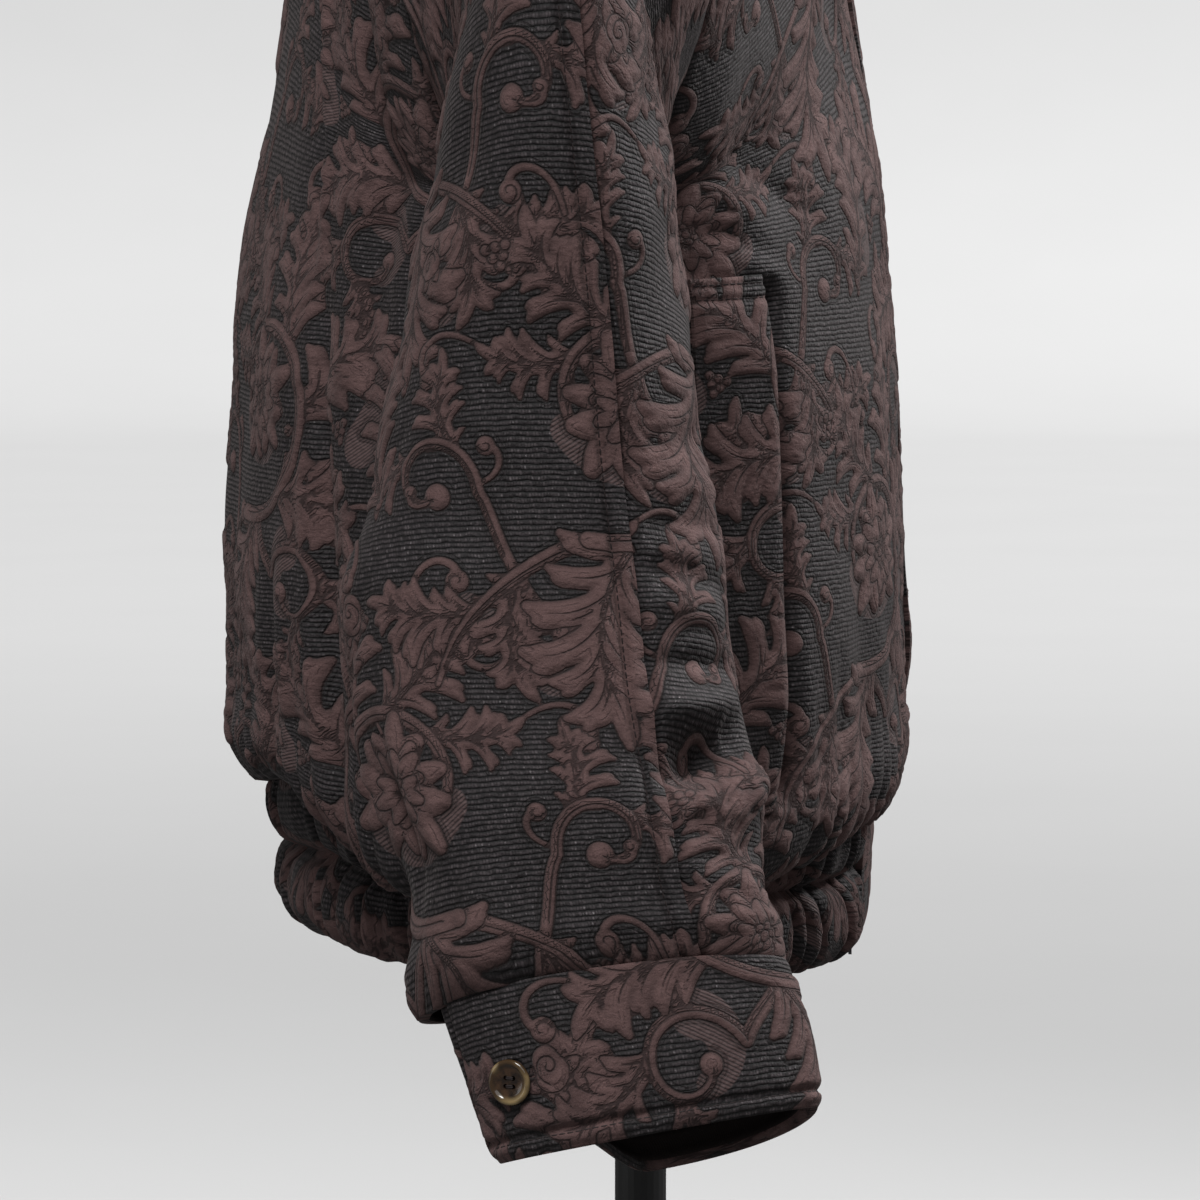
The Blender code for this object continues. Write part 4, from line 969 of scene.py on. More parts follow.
def jacquard():
    k = Net("jacquard")
    s, t = k.flat()
    sd, td, vs, vd = (k.attr(a) for a in ("sd", "td", "vs", "vd"))
    wob = k.m("MULTIPLY_ADD", k.noise(k.vec(s, t), 0.9, 2.0), 0.7, -0.35)
    edge = k.m("ABSOLUTE", k.m("ADD", sd, wob))
    vein = k.m("ABSOLUTE", k.m("ADD", vs, k.m("MULTIPLY", wob, 0.6)))
    outline = k.ease(edge, 0.06, 0.62, 0.66, 0.0)
    inner = k.m("MULTIPLY", k.ease(vein, 0.06, 0.58, 0.70, 0.0), k.ease(vd, 0.95, 1.75, 1.0, 0.0))
    broad = k.noise(k.vec(s, t), 0.085, 2.0)
    inset = k.m("MULTIPLY", k.ease(k.m("ABSOLUTE", k.m("ADD", k.m("ADD", sd, k.m("MULTIPLY", wob, 1.6)), -2.7)), 0.08, 0.50, 0.34, 0.0), k.ease(broad, 0.47, 0.60))
    inner = k.m("MAXIMUM", inner, inset)
    groove = k.m("MAXIMUM", outline, inner)
    motif = k.ease(k.m("ADD", sd, wob), -0.12, 0.12)
    twill = k.ease(k.m("ADD", td, wob), -0.5, 0.5)
    # painted shade: the colour is darkened beside the outlines and veins, where the raised motif would shade its
    # grooves
    painted_groove_shade = k.m("MINIMUM", k.ease(edge, 0.0, 2.8, 0.60, 1.0), k.ease(vd, 0.0, 2.4, 0.70, 1.0))
    # suede-like raised motif
    fine = k.noise(k.vec(s, t), 2.2, 3.0, 0.7)
    tiny = k.noise(k.vec(s, t), 5.5, 1.0, 0.5)
    mixed = k.m("ADD", k.m("MULTIPLY_ADD", fine, 0.40, k.m("MULTIPLY", tiny, 0.25)), k.m("MULTIPLY", broad, 0.35))
    brown = k.mix(k.ease(mixed, 0.34, 0.66), BROWN_DEEP, BROWN)
    # corded ground: ribs across the cloth, broken into short grains
    drift = k.m("MULTIPLY_ADD", k.noise(k.vec(s, t), 0.16, 2.0), 1.5, -0.75)
    r = k.m("DIVIDE", k.m("ADD", t, drift), RIB)
    row = k.m("FLOOR", r)
    rib = k.m("SINE", k.m("MULTIPLY", k.m("FRACT", r), math.pi))
    shift = k.m("MULTIPLY_ADD", k.chance(k.vec(row, 3.0, 1.0)), 0.35, k.m("MULTIPLY", k.m("PINGPONG", row, 1.0), 0.5))
    g = k.m("ADD", k.m("DIVIDE", k.m("MULTIPLY_ADD", drift, 0.5, s), GRAIN), shift)
    cell = k.m("FLOOR", g)
    grain = k.m("SINE", k.m("MULTIPLY", k.m("FRACT", g), math.pi))
    luck = k.chance(k.vec(cell, row, 7.0))
    body = k.m("MULTIPLY", k.m("POWER", rib, 0.8), k.m("MULTIPLY_ADD", k.m("MULTIPLY", grain, k.chance(k.vec(cell, row, 5.0))), 0.42, 0.62))
    dot = k.m("ADD", k.m("MULTIPLY", body, 0.75), k.m("MULTIPLY_ADD", tiny, 0.9, -0.42))
    # some grain tops get pale glossy thread, their colour lightened further as a painted glint
    speck_glint_mask = k.m("MULTIPLY", k.ease(luck, 0.60, 1.0), k.ease(dot, 0.68, 0.88))
    tone = k.m("MULTIPLY_ADD", k.chance(k.vec(cell, row, 2.0)), 0.80, 0.45)
    # the ground colour follows the rib height: dark thread with painted shade in the gaps, lighter on the rib tops
    ground = k.mix(k.ease(k.m("ADD", body, k.m("MULTIPLY_ADD", tiny, 0.9, -0.45)), 0.26, 0.94), RIB_GAP_THREAD_AND_SHADE, k.dim(RIB_TOP, tone))
    ground = k.mix(k.m("MULTIPLY", speck_glint_mask, 0.75), ground, SPECK_THREAD_AND_GLINT)
    # diagonal twill of both threads
    tw = k.m("FRACT", k.m("DIVIDE", k.m("ADD", k.m("MULTIPLY_ADD", s, 0.62, t), k.m("MULTIPLY", drift, 0.6)), 1.70))
    twist = k.m("SINE", k.m("MULTIPLY", tw, math.pi))
    half = k.mix(k.ease(k.m("ADD", twist, k.m("MULTIPLY_ADD", fine, 0.7, -0.35)), 0.25, 0.95), TWILL_B, TWILL_A)
    colour = k.mix(motif, k.mix(twill, ground, half), brown)
    # painted shade along the grooves of the raised motif
    colour = k.dim(colour, painted_groove_shade)
    # a second fine line just outside the motifs
    halo = k.m("MULTIPLY", k.ease(k.m("ABSOLUTE", k.m("ADD", sd, 1.7)), 0.20, 0.55, 0.26, 0.0), k.m("SUBTRACT", 1.0, motif))
    colour = k.mix(k.m("MAXIMUM", groove, halo), colour, LINE)
    k.set(Base_Color=colour)
    weave = k.m("ADD", k.m("MULTIPLY", k.m("MULTIPLY", body, 0.50), k.m("SUBTRACT", 1.0, k.m("MAXIMUM", motif, twill))),
                k.m("MULTIPLY", k.m("MULTIPLY", twist, 0.20), k.m("MULTIPLY", twill, k.m("SUBTRACT", 1.0, motif))))
    suede = k.m("MULTIPLY", k.m("MULTIPLY_ADD", fine, 0.17, k.m("MULTIPLY", tiny, 0.10)), motif)
    pucker = k.m("MULTIPLY_ADD", k.noise(k.vec(s, t), 0.30, 2.0, 0.5), 0.95, k.m("MULTIPLY", k.noise(k.vec(k.m("MULTIPLY", s, 0.7), t), 0.75, 1.0), 0.35))
    height = k.m("ADD", k.m("ADD", weave, suede), k.m("ADD", pucker, k.m("MULTIPLY", k.m("MAXIMUM", groove, halo), -0.70)))
    k.bump(height, 1.0, 0.001)
    gloss = k.m("ADD", k.m("MULTIPLY", motif, 0.16), k.m("MULTIPLY", speck_glint_mask, -0.36))
    k.set(Roughness=k.m("ADD", gloss, 0.72))
    k.bsdf.inputs["Specular IOR Level"].default_value = 0.28
    k.bsdf.inputs["Sheen Weight"].default_value = 0.08
    k.bsdf.inputs["Sheen Roughness"].default_value = 0.45
    k.bsdf.inputs["Sheen Tint"].default_value = (0.72, 0.62, 0.60, 1.0)


def plain_cloth(name, a, b, scale, rough=0.85, dist=0.0003):
    """A close plain weave, in object coordinates."""
    k = Net(name)
    n = k.tree.nodes.new("ShaderNodeTexCoord")
    sep = k.tree.nodes.new("ShaderNodeSeparateXYZ")
    k.tree.links.new(n.outputs["Object"], sep.inputs[0])
    x = k.m("SINE", k.m("MULTIPLY", k.m("ADD", sep.outputs[0], sep.outputs[1]), scale))
    z = k.m("SINE", k.m("MULTIPLY", sep.outputs[2], scale))
    w = k.m("MULTIPLY_ADD", k.m("MULTIPLY", x, z), 0.5, 0.5)
    f = k.noise(n.outputs["Object"], 60.0, 3.0)
    k.set(Base_Color=k.mix(k.m("MULTIPLY_ADD", w, 0.5, k.m("MULTIPLY", f, 0.5)), a, b))
    k.set(Roughness=k.m("MULTIPLY_ADD", f, 0.15, rough - 0.08))
    k.bump(w, 0.4, dist)
    k.bsdf.inputs["Specular IOR Level"].default_value = 0.3
    return k


def satin(name, a, b, rough, coat=0.0):
    k = Net(name)
    n = k.tree.nodes.new("ShaderNodeTexCoord")
    f = k.noise(n.outputs["Object"], 220.0, 4.0, 0.6)
    g = k.noise(n.outputs["Object"], 9.0, 2.0)
    k.set(Base_Color=k.mix(k.m("MULTIPLY_ADD", f, 0.5, k.m("MULTIPLY", g, 0.5)), a, b))
    k.set(Roughness=k.m("ADD", k.m("MULTIPLY", f, 0.10), k.m("MULTIPLY_ADD", g, 0.12, rough - 0.11)))
    k.bump(f, 0.12, 0.0002)
    k.bsdf.inputs["Coat Weight"].default_value = coat
    return k


def horn():
    k = Net("horn")
    n = k.tree.nodes.new("ShaderNodeAttribute")
    n.attribute_name = "share"
    edge = k.ease(n.outputs["Fac"], 0.56, 0.92)
    c = k.tree.nodes.new("ShaderNodeTexCoord")
    f = k.noise(c.outputs["Object"], 240.0, 4.0, 0.6)
    band = k.noise(c.outputs["Object"], 90.0, 2.0, 0.5)
    rim = k.mix(k.ease(band, 0.36, 0.64), lin(58, 42, 24), lin(138, 118, 82))
    core = k.mix(k.ease(f, 0.35, 0.70), lin(24, 15, 10), lin(62, 43, 28))
    k.set(Base_Color=k.mix(edge, core, rim))
    k.set(Roughness=k.m("MULTIPLY_ADD", f, 0.10, 0.10))
    k.bump(f, 0.10, 0.0002)
    k.bsdf.inputs["Specular IOR Level"].default_value = 0.30
    k.bsdf.inputs["Coat Weight"].default_value = 0.45
    k.bsdf.inputs["Coat Roughness"].default_value = 0.05


jacquard()
plain_cloth("lining", lin(18, 12, 11), lin(33, 24, 22), 5200.0)
plain_cloth("thread", lin(26, 20, 20), lin(42, 33, 33), 9000.0, 0.7, 0.0001)
plain_cloth("form_cover", lin(30, 30, 31), lin(46, 46, 48), 3600.0, 0.9)
satin("black_satin", lin(9, 9, 10), lin(17, 17, 18), 0.55, 0.04)
k_zip = satin("zip_metal", lin(52, 51, 53), lin(86, 85, 88), 0.36)
k_zip.bsdf.inputs["Metallic"].default_value = 0.75
horn()
for node, mat in (("form_torso", "form_cover"), ("form_cap", "black_satin"), ("form_pole", "black_satin"),
                  ("form_base", "black_satin"), ("zip_end", "zip_metal")):
    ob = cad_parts[node]
    ob.data.materials.clear()
    ob.data.materials.append(MATS[mat])

# ---------------------------------------------------------------- sizes shared with the solids
CUFF_THICK, CUFF_UNDERLAP_DEG, CUFF_STEP_IN = 0.0034, 38.0, 0.0042
BUTTON_R, BUTTON_AT, BUTTON_HOLE_R, BUTTON_HOLE_OFF = 0.0090, (139.0, 1.16), 0.00095, 0.00165
TAB_DEG, TAB_THICK = 17.5, 0.0030
PLACKET_HALF_U, PLACKET_THICK, PLACKET_ROWS = 0.036, 0.0020, (2.2, 15.0)
WELT_U, WELT_ROWS, WELT_THICK, WELT_LIFT = (0.655, 0.800), (4.4, 9.85), 0.0030, 0.0060
COLLAR_FRONT_Z, COLLAR_BACK_Z, COLLAR_LEAN = 0.929, 0.992, 0.16
COLLAR_CLEAR, COLLAR_THICK = 0.0034, 0.0030
SHOULDER_N = unit(np.array([0.45, 0.0, 0.89]))
EDGE_U = SEAM_GAP / PANEL_WIDE
SLEEVE_EDGE = SEAM_GAP * 0.6 / 0.045
MIRROR = np.array([-1.0, 1.0, 1.0])


def front_f(u, v):
    return half_panel(u, v, True)


def back_f(u, v):
    return half_panel(u, v, False)


_p = np.array([0.4])
TURN = {True: -1.0 if normals(front_f, _p, _p)[0, 1] > 0 else 1.0,
        False: -1.0 if normals(back_f, _p, _p)[0, 1] < 0 else 1.0}


def body_points(u, v, front):
    f, table = (front_f, FRONT_FOLDS) if front else (back_f, BACK_FOLDS)
    n = normals(f, np.clip(u, 2e-4, 1 - 2e-4), v) * TURN[front]
    w = np.clip((v - 0.955) / 0.045, 0, 1)[..., None]
    n = unit(n * (1 - w) + SHOULDER_N * w)
    return f(u, v) + n * folds(u, v, table, PANEL_WIDE, PANEL_TALL)[..., None], n


def row_v(q, front):
    arc = FRONT_ARC if front else BACK_ARC
    return np.interp(q, arc[0], arc[1]) / arc[1][-1]


def along_u(p):
    """Flat distance along each line of u, from its first point."""
    d = np.linalg.norm(np.diff(p, axis=0), axis=2)
    return np.concatenate([np.zeros((1, p.shape[1])), np.cumsum(d, 0)])


def along_v(p):
    """Flat distance along v, taken as the mean over u, the same in each line."""
    d = np.linalg.norm(np.diff(p, axis=1), axis=2).mean(0)
    return np.broadcast_to(np.r_[0, np.cumsum(d)][None, :], p.shape[:2])


def edge_fade(d, reach=0.004):
    x = np.clip(d / reach, 0, 1)
    return x * x * (3 - 2 * x)


# ---------------------------------------------------------------- creases
# finer troughs and ridges on the face, over the folds of the solids
FRONT_CREASES = np.array([
    # u0    v0    u1    v1    width   depth
    (0.60, 0.430, 0.78, 0.462, 0.0060, -0.0022),
    (0.62, 0.455, 0.76, 0.500, 0.0065, 0.0016),
    (0.54, 0.470, 0.72, 0.540, 0.0070, -0.0024),
    (0.44, 0.445, 0.58, 0.492, 0.0060, -0.0016),
    (0.36, 0.300, 0.50, 0.250, 0.0080, -0.0012),
    (0.20, 0.110, 0.30, 0.180, 0.0080, -0.0016),
    (0.46, 0.060, 0.48, 0.150, 0.0060, -0.0018),
    (0.56, 0.055, 0.58, 0.160, 0.0060, 0.0014),
    (0.12, 0.060, 0.14, 0.150, 0.0055, 0.0014),
    (0.26, 0.060, 0.25, 0.140, 0.0055, -0.0014),
    (0.85, 0.420, 0.95, 0.560, 0.0090, -0.0026),
    (0.30, 0.640, 0.62, 0.760, 0.0130, -0.0020),
    (0.16, 0.520, 0.30, 0.600, 0.0110, -0.0014),
])
BACK_CREASES = np.array([
    # u0    v0    u1    v1    width   depth
    (0.585, 0.050, 0.535, 0.340, 0.0055, -0.0042),
    (0.545, 0.050, 0.500, 0.330, 0.0065, 0.0032),
    (0.535, 0.340, 0.400, 0.560, 0.0070, -0.0032),
    (0.505, 0.335, 0.455, 0.720, 0.0070, 0.0044),
    (0.660, 0.300, 0.700, 0.800, 0.0150, -0.0085),
    (0.700, 0.050, 0.660, 0.260, 0.0070, -0.0036),
    (0.745, 0.060, 0.720, 0.300, 0.0075, 0.0028),
    (0.640, 0.055, 0.620, 0.170, 0.0055, 0.0022),
    (0.490, 0.045, 0.470, 0.180, 0.0055, -0.0028),
    (0.40, 0.045, 0.41, 0.200, 0.0065, -0.0030),
    (0.36, 0.050, 0.38, 0.220, 0.0070, 0.0024),
    (0.33, 0.050, 0.34, 0.150, 0.0060, 0.0016),
    (0.24, 0.045, 0.23, 0.160, 0.0060, -0.0018),
    (0.08, 0.050, 0.07, 0.150, 0.0060, 0.0014),
    (0.72, 0.300, 0.86, 0.420, 0.0090, -0.0022),
    (0.64, 0.420, 0.80, 0.560, 0.0110, -0.0020),
    (0.30, 0.560, 0.20, 0.720, 0.0120, -0.0018),
    (0.10, 0.420, 0.24, 0.500, 0.0120, 0.0014),
    (0.50, 0.700, 0.80, 0.800, 0.0120, -0.0018),
])
SLEEVE_CREASES = np.array([
    # deg0  v0     deg1   v1    width   depth
    (24.0, 0.820, 56.0, 0.850, 0.0100, -0.0145),
    (18.0, 0.782, 60.0, 0.800, 0.0075, 0.0066),
    (30.0, 0.886, 52.0, 0.876, 0.0075, 0.0042),
    (14.0, 0.752, 58.0, 0.758, 0.0045, -0.0032),
    (8.0, 0.846, 26.0, 0.880, 0.0070, 0.0034),
    (42.0, 0.876, 57.0, 0.905, 0.0060, -0.0034),
    (18.0, 0.716, 54.0, 0.712, 0.0055, 0.0024),
    (14.0, 0.690, 57.0, 0.682, 0.0050, -0.0032),
    (10.0, 0.640, 50.0, 0.652, 0.0055, -0.0028),
    (16.0, 0.612, 46.0, 0.618, 0.0060, 0.0020),
    (8.0, 0.560, 40.0, 0.590, 0.0070, -0.0024),
    (12.0, 0.905, 46.0, 0.925, 0.0050, -0.0022),
    (20.0, 0.945, 52.0, 0.935, 0.0050, 0.0016),
    (165.0, 0.930, 150.0, 0.820, 0.0065, -0.0034),
    (176.0, 0.860, 160.0, 0.740, 0.0075, 0.0028),
    (178.0, 0.790, 150.0, 0.700, 0.0070, -0.0030),
    (140.0, 0.960, 128.0, 0.880, 0.0050, -0.0014),
    (110.0, 0.965, 104.0, 0.900, 0.0050, -0.0012),
    (88.0, 0.968, 86.0, 0.915, 0.0045, 0.0010),
    (172.0, 0.640, 140.0, 0.560, 0.0090, -0.0016),
    (178.0, 0.480, 140.0, 0.440, 0.0090, -0.0014),
    (96.0, 0.620, 120.0, 0.700, 0.0100, -0.0010),
    (240.0, 0.620, 280.0, 0.680, 0.0100, -0.0022),
    (230.0, 0.860, 300.0, 0.900, 0.0080, -0.0022),
    (320.0, 0.780, 350.0, 0.850, 0.0080, -0.0020),
    (200.0, 0.250, 260.0, 0.320, 0.0120, -0.0022),
    (300.0, 0.260, 350.0, 0.330, 0.0120, -0.0022),
    (60.0, 0.120, 110.0, 0.160, 0.0120, -0.0016),
])


def blouse(v):
    """The roll of cloth that falls over the hem band."""
    return 0.0050 * np.exp(-((v - 0.050) / 0.034) ** 2)


def puckers(x, v, seed, deep=0.0021):
    """Short uneven gathers that rise from the hem seam."""
    f = np.exp(-(v / 0.075) ** 2)
    ph = x / 0.0165 * 2 * math.pi / 2 + 1.4 * np.sin(x * 41 + seed) + 0.9 * np.sin(x * 97 + 2 * seed)
    return deep * f * (np.abs(np.sin(ph)) ** 0.8 * 2 - 1.2)


# ---------------------------------------------------------------- fronts
POCKET_GAP = 0.0140              # the front sinks this far under a welt's free edge


def front_panel(name, side, u, v, at, seed, step):
    u, v = np.meshgrid(u, v, indexing="ij")
    mid, n = body_points(u, v, True)
    s, t = along_u(mid), along_v(mid)
    wide = s[-1:, :]
    lift = folds(u, v, FRONT_CREASES, PANEL_WIDE, PANEL_TALL) + puckers(s, v, seed)
    lift = lift + 0.0020 * wave(s / 0.034, t / 0.042, seed) * edge_fade(np.minimum(s, wide - s), 0.03) + blouse(v)
    side_edge = np.minimum(wide - s, 1.0)
    lift = lift - 0.0009 * np.exp(-(side_edge / 0.0028) ** 2)
    fade = edge_fade(side_edge, 0.005) * edge_fade(np.abs(u) - PLACKET_HALF_U * 0.98, 0.012)
    q0, q1 = (row_v(q, True) for q in WELT_ROWS)
    under = np.clip((u - WELT_U[0] - 0.002) / 0.02, 0, 1) * np.clip((WELT_U[1] + 0.02 - u) / 0.015, 0, 1)
    under = under * np.clip((v - q0 + 0.006) / 0.006, 0, 1) * np.clip((q1 + 0.006 - v) / 0.006, 0, 1)
    strip = np.clip((PLACKET_HALF_U + 0.006 - u) / 0.006, 0, 1)
    keep = 1 - np.maximum(under, strip)
    gap = np.exp(-((u - WELT_U[0] + 0.015) * PANEL_WIDE / 0.0085) ** 2)
    gap = gap * np.clip((v - q0) / 0.03, 0, 1) * np.clip((q1 - v) / 0.02, 0, 1)
    lift = lift * keep - 0.0002 * (1 - keep) - POCKET_GAP * gap
    return shell(name, mid, n, lift, CLOTH, s, t, at, fade * keep * (1 - 0.8 * gap), step, side)


fine_u = steps((EDGE_U, 0.10, 26), (0.10, 0.90, 184), (0.90, 1 - EDGE_U, 12))
fine_v = steps((0.0, 0.06, 30), (0.06, 0.68, 316), (0.68, 1 - SEAM_GAP / FRONT_LEN, 70))
ob = front_panel("blouson_front_right", -1, fine_u, fine_v, (40.0, 90.0), 1.0, 8)
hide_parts("front_right")
u_left = steps((EDGE_U, 1 - EDGE_U, 84))
v_left = steps((0.0, 0.06, 16), (0.06, 1 - SEAM_GAP / FRONT_LEN, 146))
ob = front_panel("blouson_front_left", 1, u_left, v_left, (150.0, 90.0), 2.3, 8)
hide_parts("front_left")

# ---------------------------------------------------------------- back, one piece
def back_panel(w, v):
    w, v = np.meshgrid(w, v, indexing="ij")
    u = np.abs(w)
    mid, n = body_points(u, v, False)
    sense = np.where((w < 0) | ((w == 0) & (w[-1:, :] <= 0)), -1.0, 1.0)
    mid[..., 0] *= sense
    n[..., 0] *= sense
    both = w[0, 0] < 0 < w[-1, 0]
    if both:
        n[w == 0, 0] = 0.0
        n = unit(n)
    s = along_u(mid)
    k = int(np.argmin(np.abs(w[:, 0])))
    s = s - s[k:k + 1, :]
    edge = np.minimum(s - s[:1, :], s[-1:, :] - s) if both else np.abs(np.abs(s) - np.abs(s).max(0, keepdims=True))
    tilt = np.where(w < 0, u, np.clip(u + 0.03 * np.sin(9 * v), 0, 1))
    t = BACK_LEN * v
    lift = folds(tilt, v, BACK_CREASES, PANEL_WIDE, PANEL_TALL)
    lift = lift + puckers(s + 0.4, v, 4.1) + 0.0020 * wave(s / 0.036, t / 0.045, 3.0) * edge_fade(edge, 0.03) + blouse(v)
    lift = lift - 0.0009 * np.exp(-(edge / 0.0028) ** 2)
    return mid, n, lift, s, t, edge_fade(edge, 0.005)


left = steps((0.0, 1 - EDGE_U, 64))
right = steps((0.0, 0.12, 20), (0.12, 0.86, 150), (0.86, 1 - EDGE_U, 12))
NECK_V, TOP_V = float(row_v(NECK_Q, False)), 1 - SEAM_GAP / BACK_LEN
low_v = steps((0.0, 0.06, 26), (0.06, 0.68, 244), (0.68, NECK_V, 62))
top_v = steps((NECK_V, TOP_V, 26))
parts = []
for label, w, v in (("", np.concatenate([-right[::-1], left[1:]]), low_v),
                    ("_a", -right[::-1], top_v), ("_b", left, top_v)):
    mid, n, lift, s, t, fade = back_panel(w, v)
    parts.append(shell("blouson_back" + label, mid, n, lift, CLOTH, s, t, (95.0, 20.0), fade, 8, ride=False))
ob = parts[0]
with bpy.context.temp_override(active_object=ob, object=ob, selected_objects=parts, selected_editable_objects=parts):
    bpy.ops.object.join()
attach(ob, "root")
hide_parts("back")

# ---------------------------------------------------------------- sleeves
SEAM_EDGE_UP, SEAM_GROOVE = 0.0013, 0.0075       # raised edge, its topstitch line
SINK_FROM = 0.988                                # from here the sleeve dips under its cuff


def sleeve_points(phi, v):
    n = -normals(sleeve, phi, v)
    d = folds(np.degrees(phi) % 360.0, v, SLEEVE_FOLDS, SLEEVE_REACH * math.pi / 180, SLEEVE_LEN)
    return sleeve(phi, v) + n * d[..., None], n


def sleeve_panel(name, side, half, f, v, at, seed, step):
    f, v = np.meshgrid(f, v, indexing="ij")
    lo = np.full_like(v, -math.pi / 2 + SLEEVE_EDGE) if half == "front" else seam_phi(v) + SLEEVE_EDGE
    hi = seam_phi(v) - SLEEVE_EDGE if half == "front" else np.full_like(v, 1.5 * math.pi - SLEEVE_EDGE)
    phi = lo + (hi - lo) * f
    mid, n = sleeve_points(phi, v)
    sink = (np.clip((v - SINK_FROM) / (1 - SINK_FROM), 0, 1) ** 1.6)[..., None]
    top = cuff(phi, np.full_like(v, 0.05)) - n * 0.0016
    deg = np.degrees(phi) % 360.0
    hang = np.exp(-((deg - 186.0) / 24.0) ** 2)
    ease = np.clip((v - 0.92) / 0.08, 0, 1)
    mid = mid + (top - mid) * sink * (1 - 0.92 * hang)[..., None]
    mid = mid + (n * 0.0050 + np.array([0, 0, -0.0060])) * (hang * ease * ease * (3 - 2 * ease))[..., None]
    # the sleeve head is drawn in to meet the armhole
    mid[..., 0] -= 0.0036 * np.exp(-(v * SLEEVE_LEN / 0.0045) ** 2)
    s = along_u(mid)
    wide = s[-1:, :]
    t = -SLEEVE_LEN * v
    from_seam = wide - s if half == "front" else s
    from_under = s if half == "front" else wide - s
    lift = folds(deg, v, SLEEVE_CREASES, SLEEVE_REACH * math.pi / 180, SLEEVE_LEN)
    lift = lift + 0.0019 * wave(s / 0.026, t / 0.034, seed) * edge_fade(np.minimum(from_seam, from_under), 0.02)
    # soft tucks where the sleeve is eased into the cuff
    tuck = np.exp(-((1 - v) / 0.050) ** 2)
    lift = lift + 0.0013 * tuck * np.sin(s / 0.0062 + 1.5 * np.sin(s * 60 + seed))
    lift = lift + 0.0022 * np.exp(-((v - 0.972) / 0.014) ** 2)
    if half == "back":
        flat_ = np.clip((SEAM_GROOVE - from_seam) / 0.0022, 0, 1)
        lift = lift + SEAM_EDGE_UP * flat_ * flat_ * (3 - 2 * flat_)
        lift = lift - 0.0018 * np.exp(-((from_seam - SEAM_GROOVE) / 0.0015) ** 2)
        soft = edge_fade(np.abs(from_seam - SEAM_GROOVE), 0.003)
        soft = np.where(from_seam < SEAM_GROOVE, 0.35 * soft, soft)
    else:
        lift = lift - 0.0028 * np.exp(-(from_seam / 0.0026) ** 2)
        soft = edge_fade(from_seam, 0.004)
    lift = lift - 0.0008 * np.exp(-(from_under / 0.0025) ** 2)
    lift = lift - 0.0008 * np.exp(-((1 - v) * SLEEVE_LEN / 0.0030) ** 2)
    return shell(name, mid, n, lift, CLOTH, s, t, at, soft * edge_fade(from_under, 0.004), step, side)


v_fine = steps((0.0, 0.24, 60), (0.24, 0.985, 400), (0.985, 1.0, 14))
v_rough = steps((0.0, 0.985, 140), (0.985, 1.0, 8))
f_back = steps((0.0, 0.62, 156), (0.62, 1.0, 34))
f_front = steps((0.0, 0.50, 28), (0.50, 1.0, 84))
for side_name, side, v, fb, ff, at_b, at_f in (
        ("right", -1, v_fine, f_back, f_front, (196.0, 250.0), (70.0, 158.0)),
        ("left", 1, v_rough, steps((0.0, 1.0, 84)), steps((0.0, 1.0, 58)), (20.0, 120.0), (130.0, 40.0))):
    ob = sleeve_panel("blouson_sleeve_%s_back" % side_name, side, "back", fb, v, at_b, 1.9 * side, 8)
    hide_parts("sleeve_%s_back" % side_name)
    ob = sleeve_panel("blouson_sleeve_%s_front" % side_name, side, "front", ff, v, at_f, 2.7 * side, 8)
    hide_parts("sleeve_%s_front" % side_name)

# ---------------------------------------------------------------- cuffs
CUFF_STITCH, CUFF_CORNER = 0.0072, 0.011


def cuff_normals(phi, row):
    da = cuff(phi + 1e-4, row) - cuff(phi - 1e-4, row)
    db = cuff(phi, np.clip(row + 1e-3, 0, 2)) - cuff(phi, np.clip(row - 1e-3, 0, 2))
    return -unit(np.cross(da, db))


